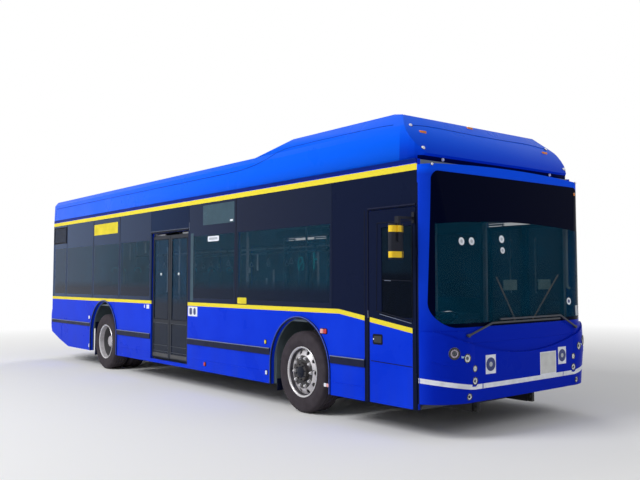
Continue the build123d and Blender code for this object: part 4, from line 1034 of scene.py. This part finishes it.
# thin seals in the window band: pane gaps and the rail over the doors
bm = bmesh.new()
for side in SIDES:
    for x in (-4.700, -3.300, -2.090, 1.780):
        side_plate(bm, side, about(x, 0.010), (1.250, 2.640), 0.001, 0.0015)
for side, x in ((LEFT, (-0.845, 0.445)), (RIGHT, (-0.845, 0.445)), (LEFT, (3.925, 5.215))):
    side_plate(bm, side, x, (2.292, 2.318), 0.004, 0.010, edge=0.003)
# the joint in front of the wheel arch runs up beside the driver's door
for x in (4.452, 4.500):
    side_plate(bm, RIGHT, about(x, 0.004), (0.290, 2.296), 0.001, 0.0022)
add_piece("band_seals", bm, SEAL)

bm = bmesh.new()
side_bar(bm, RIGHT, ((-0.845, 2.320), (0.445, 2.320)), 0.003, 0, HALF_W + 0.006)
side_bar(bm, RIGHT, ((0.452, 2.280), (0.452, 2.400)), 0.0035)
side_bar(bm, RIGHT, ((4.505, 1.160), (4.505, 1.235)), 0.004)
add_piece("band_edges", bm, GREY_LINE)

# --- driver's door
bm = bmesh.new()
for start, end, radius, mat, depth, proud in (
    # frame of the window, its lower edge parallel to the stripe
    ((4.640, 1.235), (5.185, 1.150), 0.006, 0, 0.0, 0.1),
    ((4.640, 1.235), (4.655, 2.150), 0.004, 0, 0.0, 0.1),
    ((4.655, 2.150), (5.185, 2.150), 0.004, 0, 0.0, 0.1),
    ((5.185, 2.150), (5.185, 1.150), 0.004, 0, 0.0, 0.1),
    # rail across the glass, pale lines under the window and on the rail
    ((4.725, 1.560), (5.190, 1.545), 0.005, 0, -0.010, 0.2),
    ((4.690, 1.205), (5.170, 1.128), 0.003, 1, 0.0, 0.3),
    ((4.760, 1.552), (4.860, 1.549), 0.003, 1, -0.008, 0.6),
    # crease across the lower part of the door
    ((4.550, 0.716), (5.175, 0.700), 0.004, 0, 0.0, 0.0),
):
    side_bar(bm, RIGHT, (start, end), radius, mat, HALF_W + depth, proud)
add_piece("cab_door_lines", bm, (SEAL, GREY_LINE), "cab_door")

# pull handle in its recess
bm = bmesh.new()
side_plate(bm, RIGHT, (4.580, 4.735), (0.889, 0.997), 0.018, 0.003, 0, low=0.0005)
side_plate(bm, RIGHT, (4.598, 4.722), (0.908, 0.978), 0.014, 0.007, 1, low=0.001, edge=0.002)
lathe(bm, [(0, 0.008), (0.006, 0.008), (0.008, 0.005), (0.008, 0)],
      (4.600, -HALF_W - 0.003, 0.944), (0, -1, 0), 16, mat=2)
add_piece("cab_door_handle", bm, (SEAL, DARK, WHITE_FILM), "cab_door")

# --- passenger doors
LEAF_Z = (0.372, 2.245)
LEAF_OUT, LEAF_IN = 1.280, 1.240
DOORS = (("right_middle", RIGHT, -0.200), ("left_middle", LEFT, -0.200),
         ("left_front", LEFT, 4.570))
LEAF_LINE = plain("leaf_line", (0.055, 0.065, 0.085), 0.4, 90, 0.03)


def leaf_fittings(body, side, middle, direction):
    """Seals, pressed lines, knob and grab rail of one leaf."""

    def span(near, far):
        """Stretch of x between two distances from where the leaves meet."""
        return sorted((middle + direction * near, middle + direction * far))

    def depth(inset):
        return side * (LEAF_IN + inset), side * (LEAF_OUT - inset)

    bm = bmesh.new()
    # seal on the meeting edge and round the glass
    block(bm, span(0.0025, 0.011), depth(0.006), LEAF_Z, 0.0015)
    for x, z in border(span(0.060, 0.553), (0.955, 2.193), 0.007):
        side_plate(bm, side, x, z, 0.001, 0.0022, y=LEAF_OUT)
    # pressed lines of the lower panel, the kick plate and the rubber sweep
    for z in (0.900, 0.560, 0.470):
        side_bar(bm, side, [(x, z) for x in span(0.050, 0.558)], 0.0028, 1, LEAF_OUT, 0.1)
    side_plate(bm, side, span(0.040, 0.568), (0.385, 0.440), 0.004, 0.0025, 2, y=LEAF_OUT)
    block(bm, span(0.015, 0.598), depth(0.010), (0.352, 0.374), 0.002)
    # push knob on the glass and grab rail behind it
    knob = (middle + direction * 0.300, side * (LEAF_OUT + 0.001), 1.650)
    lathe(bm, [(-0.002, 0.020), (0.008, 0.020), (0.013, 0.014), (0.014, 0)], knob,
          (0, side, 0), 20, mat=3)
    x = middle + direction * 0.200
    end, y = side * (LEAF_IN + 0.002), side * (LEAF_IN - 0.014)
    rail = [(x, end, 1.375), (x, y, 1.395), (x, y, 1.70), (x, y, 2.045), (x, end, 2.065)]
    tube(bm, rail, 0.010, 10, 3)
    add_piece(f"fittings_{body}", bm, (SEAL, LEAF_LINE, HOUSING, RAIL_WHITE), body)


for name, side, middle in DOORS:
    leaf_fittings(f"leaf_{name}_rear", side, middle, -1)
    leaf_fittings(f"leaf_{name}_front", side, middle, 1)


# --- roof
def rounded_cowl():
    """The cowl with its outer edges rounded inside the solid's own form."""
    bm = bmesh.new()
    bm.from_mesh(nodes["roof_cowl"].data)
    bmesh.ops.remove_doubles(bm, verts=bm.verts, dist=1e-5)
    bmesh.ops.dissolve_limit(
        bm, angle_limit=math.radians(0.6), verts=bm.verts, edges=bm.edges
    )
    outer = [
        edge for edge in bm.edges
        if len(edge.link_faces) == 2 and edge.is_convex
        and sum(vert.co.z for vert in edge.verts) / 2 >= GUTTER_Z + 0.02
        and edge.calc_face_angle(0.0) >= math.radians(9)
    ]
    bmesh.ops.bevel(
        bm, geom=outer, offset=0.030, segments=3, affect="EDGES", profile=0.5,
        clamp_overlap=True,
    )
    bmesh.ops.triangulate(bm, faces=[f for f in bm.faces if len(f.verts) > 4])
    return bm


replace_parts(add_piece("rounded_roof_cowl", rounded_cowl(), PAINT),
            "roof_cowl")


def cowl_side(side, x, z):
    """Point on the cowl's side face."""
    return hit(COWL, (x, side * 3, z), (0, -side, 0), (x, side * 1.25, z))


def cowl_front(y, z):
    """Point on the cowl's front face."""
    return hit(COWL, (8, y, z), (-1, 0, 0), (5.1, y, z))


def shade_blue(name, colour):
    return plain(name, colour, 0.4, 60, 0.02, gloss=PAINT_GLOSS)


# crease under the cowl's upper edge, round the pod at the front
CREASE = (
    (-5.38, 3.010), (-3.0, 3.010), (0.0, 3.010), (1.6, 3.012), (2.05, 3.030), (2.431, 3.080),
    (2.766, 3.180), (3.147, 3.196), (3.952, 3.197), (4.58, 3.187), (4.83, 3.172),
)
FRONT_CREASE = (
    (1.180, 3.150), (0.833, 3.178), (0.376, 3.172), (0.0, 3.168), (-0.376, 3.172),
    (-0.833, 3.178), (-1.180, 3.150),
)
CREASE_SUNK = 0.0035
bm = bmesh.new()
for side in SIDES:
    sunk = Vector((0, side * CREASE_SUNK, 0))
    line = [cowl_side(side, x, z) - sunk for x, z in smooth_line(CREASE, 6)]
    tube(bm, line, 0.008, 8, flat=0.8)
line = [cowl_front(y, z) - CREASE_SUNK * AXIS_X for y, z in smooth_line(FRONT_CREASE, 6)]
tube(bm, line, 0.007, 8)
add_piece("cowl_creases", bm, shade_blue("cowl_shade", (0.002, 0.060, 0.60)))


def dome(bm, at, axis, radius, height, mat=1):
    """Small round lamp on its black seat."""
    seat = [(-0.004, radius * 1.15), (0.002, radius * 1.15), (0.003, radius)]
    lens = [(0.002, radius), (height * 0.6, radius * 0.85), (height * 0.92, radius * 0.5),
            (height, 0)]
    lathe(bm, seat, at, axis, 24)
    lathe(bm, lens, at, axis, 24, mat=mat)


# marker lamps on the cowl's front and the header
bm = bmesh.new()
for side in SIDES:
    dome(bm, cowl_front(side * 1.150, 3.150), (0.67, side * 0.2, 0.74), 0.020, 0.018)
    dome(bm, cowl_front(side * 1.195, 2.880), (0.78, 0, 0.63), 0.022, 0.018)
    dome(bm, cowl_front(side * 0.910, 2.788), (1, 0, 0), 0.020, 0.016)
    dome(bm, on_nose(side * 1.215, 2.700), (1, side * 0.3, 0), 0.014, 0.014)
for y, z in ((-0.091, 3.275), (1.037, 3.085), (-1.037, 3.085)):
    x = cowl_front(y, z).x
    block(bm, (x - 0.02, x + 0.012), about(y, 0.045), about(z, 0.014), 0.006, 2)
dome(bm, on_nose(1.160, 2.560), (1, 0.1, 0), 0.020, 0.010, 2)
add_piece("roof_markers", bm, (SEAL, WHITE_FILM, ORANGE_LENS))

# gutter line between the cowl and the header
bm = bmesh.new()
for side in SIDES:
    side_bar(bm, side, [(x, 2.7645) for x in spread(-5.45, 5.24, 24)], 0.006, 0, 1.2965)
add_piece("gutter_line", bm, shade_blue("gutter_shade", (0.003, 0.030, 0.30)))


# --- mirrors
def mirror_paint():
    """Black housings; the driver's side has a yellow band near each end."""
    s = Shader("mirror_black")
    x, y, z = s.xyz
    bands = s.either(s.between(z, 2.026, 2.090), s.between(z, 1.776, 1.836))
    gap = s.between(y, -1.452, -1.440)
    mask = s.both(bands, s.below(y, -1.4205), s.above(x, 5.131), s.negate(gap))
    black = s.mix(s.noise(9.0, 3.0), (0.008, 0.010, 0.018), (0.014, 0.016, 0.026))
    s.set(Base_Color=s.mix(mask, black, (0.90, 0.60, 0.03)), Roughness=0.45)
    s.set(Specular_IOR_Level=0.15)
    s.bump(s.noise(240.0, 2.0), 0.08, 0.0005)
    return s.material


MIRROR_PAINT = mirror_paint()
MIRROR_GLASS = plain("mirror_glass", (0.72, 0.75, 0.78), 0.04, 300, 0.0, Metallic=1.0)
for body, side, x, z in (("cab_door", RIGHT, 5.165, 1.935), ("chassis", LEFT, 5.028, 2.225)):
    dress("mirror_" + SIDES[side], MIRROR_PAINT)

    def behind(u, v, d):
        return Vector((x - 0.035 - d, u, v))

    bm = bmesh.new()
    for half, half_z, radius, levels, mat in (
        (0.066, 0.160, 0.020, (-0.001, 0.0035, 0.0015), 0),
        (0.060, 0.154, 0.017, (0.0030, 0.0042, 0.0005), 1),
    ):
        outline = rounded(about(side * 1.500, half), about(z, half_z), radius)
        plate(bm, outline, behind, *levels, mat)
    add_piece("mirror_glass_" + SIDES[side], bm, (SEAL, MIRROR_GLASS), body)

# --- behind the windscreen
DASH_MATERIALS = (
    plain("panel_green", (0.55, 0.78, 0.70), 0.5, 120),
    plain("rod_bronze", (0.95, 0.62, 0.38), 0.35, 120, 0.03), DARK,
)
bm = bmesh.new()
for ends in (((-0.110, 1.130), (-0.350, 1.580)), ((0.180, 1.110), (0.738, 1.598))):
    tube(bm, [on_nose(y, z, -0.045) for y, z in ends], 0.009, 10, 1)
for y in (-0.092, 0.517):
    x = on_nose(y, 1.495).x - 0.075
    block(bm, (x - 0.020, x), about(y, 0.110), (1.438, 1.550), 0.006)
    tube(bm, [(x - 0.010, y, 1.006), (x - 0.010, y, 1.440)], 0.007, 8, 2)
add_piece("dash_panels", bm, DASH_MATERIALS)

# dashboard: instrument hood, dials, screen, switches and the shelf under the glass
bm = bmesh.new()
block(bm, (5.085, 5.230), (-1.010, -0.550), (0.985, 1.060), 0.020, 0, 3)
block(bm, (5.070, 5.090), (-0.960, -0.600), (0.960, 1.040), 0.006, 1)
block(bm, (5.070, 5.110), (-0.470, -0.240), (0.975, 1.130), 0.008)
block(bm, (5.066, 5.072), (-0.455, -0.255), (0.990, 1.115), 0.002, 1)
block(bm, (5.300, 5.335), (-1.050, 1.000), (0.985, 1.012), 0.010)
for y in spread(-0.960, -0.596, 7):
    block(bm, (5.150, 5.170), (y, y + 0.034), (1.060, 1.068), 0.003, 3)
for y in (-0.880, -0.680):
    lathe(bm, [(0, 0.042), (0.004, 0.042), (0.006, 0.036), (0.002, 0.034), (0.002, 0)],
          (5.068, y, 0.998), (-1, 0, 0.1), 28, mat=2)
add_piece("dash_fittings", bm, (DARK, SEAL, GREY_LINE, HOUSING))

# driver's pod: trimmed side shelf under the window and a headrest, teal lightened as painted
# window light
bm = bmesh.new()
block(bm, (4.460, 5.140), (-1.235, -1.140), (1.080, 1.150), 0.030, 0, 3)
block(bm, (4.480, 5.100), (-1.235, -1.205), (0.700, 1.085), 0.010)
block(bm, (5.150, 5.245), (-1.232, -1.130), (0.990, 1.420), 0.030, 0, 3)
add_piece("cab_trim", bm, plain("teal_trim_window_light", (0.05, 0.30, 0.34), 0.5, 120))

# rails at the front: a grey pole by the driver and a white rail at the far pillar
bm = bmesh.new()
tube(bm, [(4.985, 0.040, z) for z in (0.331, 1.30, 2.288)], 0.017, 14)
lathe(bm, [(0, 0.040), (0.006, 0.040), (0.012, 0.022)], (4.985, 0.040, 0.330), (0, 0, 1), 20)
tube(
    bm,
    [(5.352, 1.118, 1.440), (5.334, 1.098, 1.452), (5.330, 1.094, 1.500), (5.330, 1.100, 2.120),
     (5.334, 1.104, 2.165), (5.352, 1.118, 2.180)],
    0.016, 14, 1,
)
add_piece("front_rails", bm, (TUBE, RAIL_WHITE))

# --- saloon
# front edge and cushion height of each row
SEAT_ROWS = ((-2.20, 1.26), (-2.90, 1.26), (-3.75, 1.21), (-4.50, 1.21), (1.35, 0.76),
             (2.15, 0.76))
# a seat handle from its middle: behind the back's face, across, above the back
HANDLE = (
    (-0.010, -0.060, -0.010), (-0.014, -0.055, 0.045), (-0.014, -0.030, 0.070),
    (-0.014, 0.030, 0.070), (-0.014, 0.055, 0.045), (-0.010, 0.060, -0.010),
)
TEAL_LOOP = plain("teal_loop", (0.03, 0.85, 0.90), 0.35, 120, 0.03)
bm = bmesh.new()
for side in SIDES:
    for front, cushion in SEAT_ROWS:
        for y in (0.735, 1.145):
            path = [(front - 0.452 + dx, side * (y + dy), cushion + 0.448 + dz)
                    for dx, dy, dz in HANDLE]
            tube(bm, path, 0.012)
add_piece("seat_handles", bm, TEAL_LOOP)

# grab handles under the rails: clip, stiff strap and triangular grip
GRAB_Z, GRAB_Y = 2.000, 0.540
POLE_X = (-3.2, -1.4, 0.8, 3.7)
GRIP = (
    (0, 1.868), (-0.045, 1.800), (-0.050, 1.788), (-0.042, 1.780), (0.042, 1.780),
    (0.050, 1.788), (0.045, 1.800), (0, 1.868),
)
bm = bmesh.new()
for side in SIDES:
    y = side * GRAB_Y
    for rear, front in zip(POLE_X, POLE_X[1:]):
        for x in spread(rear, front, int((front - rear) / 0.55))[1:-1]:
            lathe(bm, [(-0.016, 0.0185), (-0.016, 0.023), (0.016, 0.023), (0.016, 0.0185)],
                  (x, y, GRAB_Z), (1, 0, 0), 16, ring=True)
            block(bm, about(x, 0.012), about(y, 0.003), (1.865, 1.980), 0.001)
            tube(bm, [(x + dx, y, z) for dx, z in GRIP], 0.007, 8, 1)
add_piece("grab_handles", bm, (DARK, RAIL_WHITE))

# rails and handles close behind the right side glass
bm = bmesh.new()
y = -1.212
for x, low, high, mat in (
    (1.945, 1.305, 2.120, 0), (2.560, 1.305, 1.690, 0), (1.985, 1.650, 1.720, 1),
    (2.180, 1.680, 1.890, 1), (3.420, 1.680, 1.880, 2), (3.505, 1.420, 1.880, 0),
    (2.400, 1.500, 1.580, 1), (-1.860, 1.900, 2.170, 1), (-1.250, 2.000, 2.180, 1),
    (-2.120, 1.340, 1.640, 0),
):
    tube(bm, [(x, y, z) for z in spread(low, high, 2)], 0.013, mat=mat)
tube(bm, [(3.420, y, 1.800), (3.505, y, 1.800)], 0.012, mat=2)
ring = [(3.150 + 0.055 * math.cos(t), y, 1.745 + 0.085 * math.sin(t))
        for t in spread(-math.pi / 3, math.pi * 4 / 3, 15)]
tube(bm, ring, 0.010, mat=2)
tube(bm, [(3.105, y, 1.700), (3.190, y, 1.790)], 0.009, 8, 2)
for x, z in ((1.945, 1.305), (2.560, 1.305), (3.505, 1.420)):
    block(bm, about(x, 0.02), (-1.239, -1.200), about(z, 0.015), 0.004)
add_piece("window_rails", bm, (TUBE, RAIL_WHITE, TEAL_LOOP))

# ceiling lights and panel joints
bm = bmesh.new()
for side in SIDES:
    for x in spread(-4.9, 3.1, 5):
        block(bm, (x, x + 1.2), (side * 0.620, side * 0.740), (2.684, 2.699), 0.005)
for x in spread(-3.9, 3.3, 4):
    block(bm, about(x, 0.01), (-1.230, 1.230), (2.692, 2.699), 0.002, 1)
add_piece("ceiling_lights", bm, (RAIL_WHITE, GREY_LINE))

# --- tail
TAIL_X = -5.530
bm = bmesh.new()
for side in SIDES:
    for z, mat in ((1.070, 1), (1.210, 2), (1.350, 3)):
        at = (TAIL_X - 0.012, side * 1.150, z)
        lathe(bm, [(-0.010, 0.0555), (0.002, 0.0615), (0.003, 0.0600), (0.001, 0.0510)], at,
              (-1, 0, 0), 40, ring=True)
        lens = [(0.0004, 0.0515)]
        for i in range(6):
            depth, r = 0.0006 * i, 0.0490 - 0.0082 * i
            lens += [(0.0042 + depth, r), (0.0030 + depth, r - 0.0035)]
        lathe(bm, lens + [(0.0070, 0)], at, (-1, 0, 0), 40, mat=mat)
add_piece("tail_lamp_lenses", bm, (SEAL, LENS_WHITE, ORANGE_LENS, RED_LENS))

# hatch: hinges, finger recess and vent slats under the rear window
bm = bmesh.new()
for side in SIDES:
    tube(bm, [(TAIL_X - 0.004, side * y, 1.413) for y in (0.62, 0.78)], 0.011, 12)
block(bm, (TAIL_X - 0.006, TAIL_X + 0.001), (-0.110, 0.110), (1.045, 1.095), 0.002)
for z in spread(1.150, 1.330, 6):
    block(bm, (TAIL_X - 0.005, TAIL_X + 0.001), (-0.720, 0.720), (z, z + 0.012), 0.002,
          steps=1)
add_piece("rear_hatch_fittings", bm, SEAL)

bm = bmesh.new()
outline = rounded((-0.962, 0.962), (1.488, 2.462), 0.060, 6)
tube(bm, [(TAIL_X - 0.001, y, z) for y, z in outline + outline[:1]], 0.008, 8)
add_piece("rear_window_seal", bm, SEAL)

# --- under the bus
bm = bmesh.new()
for side in SIDES:
    for x in spread(-1.5, 2.53, 13):
        lathe(bm, [(0, 0.011), (0.007, 0.011), (0.007, 0.006), (0.010, 0)],
              (x, side * 0.48, 0.2895), (0, 0, -1), 6)
add_piece("underfloor_bolts", bm, CAST)

# --- floor and light
FLOOR_HALF = 30.0
FLOOR_FADE = (7.0, 15.0)  # where the floor goes over into the white backdrop
DIFFUSE_WORLD = 0.36  # strength of the world for rays other than camera, gloss and glass


def backdrop_seen(tree):
    """1 for the rays that show the backdrop: seen directly, in gloss or through glass."""
    path = tree.nodes.new("ShaderNodeLightPath")
    seen = path.outputs["Is Camera Ray"]
    for kind in ("Is Glossy Ray", "Is Transmission Ray"):
        either = tree.nodes.new("ShaderNodeMath")
        either.operation = "MAXIMUM"
        tree.links.new(seen, either.inputs[0])
        tree.links.new(path.outputs[kind], either.inputs[1])
        seen = either.outputs[0]
    return seen


def make_floor():
    mesh = bpy.data.meshes.new("floor")
    half = FLOOR_HALF
    corners = [(-half, -half, 0), (half, -half, 0), (half, half, 0), (-half, half, 0)]
    mesh.from_pydata(corners, [], [(0, 1, 2, 3)])
    ground = bpy.data.objects.new("studio_floor", mesh)
    collection.objects.link(ground)
    s = Shader("studio_floor")
    s.set(Base_Color=(0.92, 0.92, 0.92), Roughness=0.9, Specular_IOR_Level=0.1)
    away = s.ramp(s.distance(s.xyz[0], s.xyz[1]), *FLOOR_FADE)
    blend = s.node("MixShader")
    s.link(s.both(backdrop_seen(s.tree), away), blend.inputs[0])
    s.link(s.bsdf.outputs[0], blend.inputs[1])
    s.link(s.node("Emission", Color=(1, 1, 1)).outputs[0], blend.inputs[2])
    s.link(blend.outputs[0], s.tree.nodes["Material Output"].inputs["Surface"])
    mesh.materials.append(s.material)
    ground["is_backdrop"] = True


def make_world():
    world = bpy.data.worlds.new("studio")
    bpy.context.scene.world = world
    world.use_nodes = True
    tree = world.node_tree
    strength = tree.nodes.new("ShaderNodeMapRange")
    strength.inputs["To Min"].default_value = DIFFUSE_WORLD
    strength.inputs["To Max"].default_value = 1.0
    tree.links.new(backdrop_seen(tree), strength.inputs["Value"])
    background = tree.nodes["Background"]
    tree.links.new(strength.outputs[0], background.inputs["Strength"])
    background.inputs["Color"].default_value = (1, 1, 1, 1)


def make_lamp(name, place, target, size, power):
    data = bpy.data.lights.new(name, "AREA")
    data.shape = "SQUARE"
    data.size = size
    data.energy = power
    lamp = bpy.data.objects.new(name, data)
    lamp.location = place
    lamp.rotation_mode = "QUATERNION"
    lamp.rotation_quaternion = (Vector(target) - Vector(place)).to_track_quat("-Z", "Y")
    collection.objects.link(lamp)


make_floor()
make_world()
make_lamp("key", (-1.0, -15.0, 13.0), (0, 0, 1.5), 9.0, 2400)
make_lamp("fill", (16.0, 2.0, 9.0), (4.0, 0, 1.5), 6.0, 260)
make_lamp("back", (-12.0, 12.0, 11.0), (0, 0, 1.5), 8.0, 800)

bpy.context.scene.view_settings.view_transform = "Standard"

low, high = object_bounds()
({
        "cad": [list(cad_low), list(cad_high)],
        "visual": [list(low), list(high)],
    })
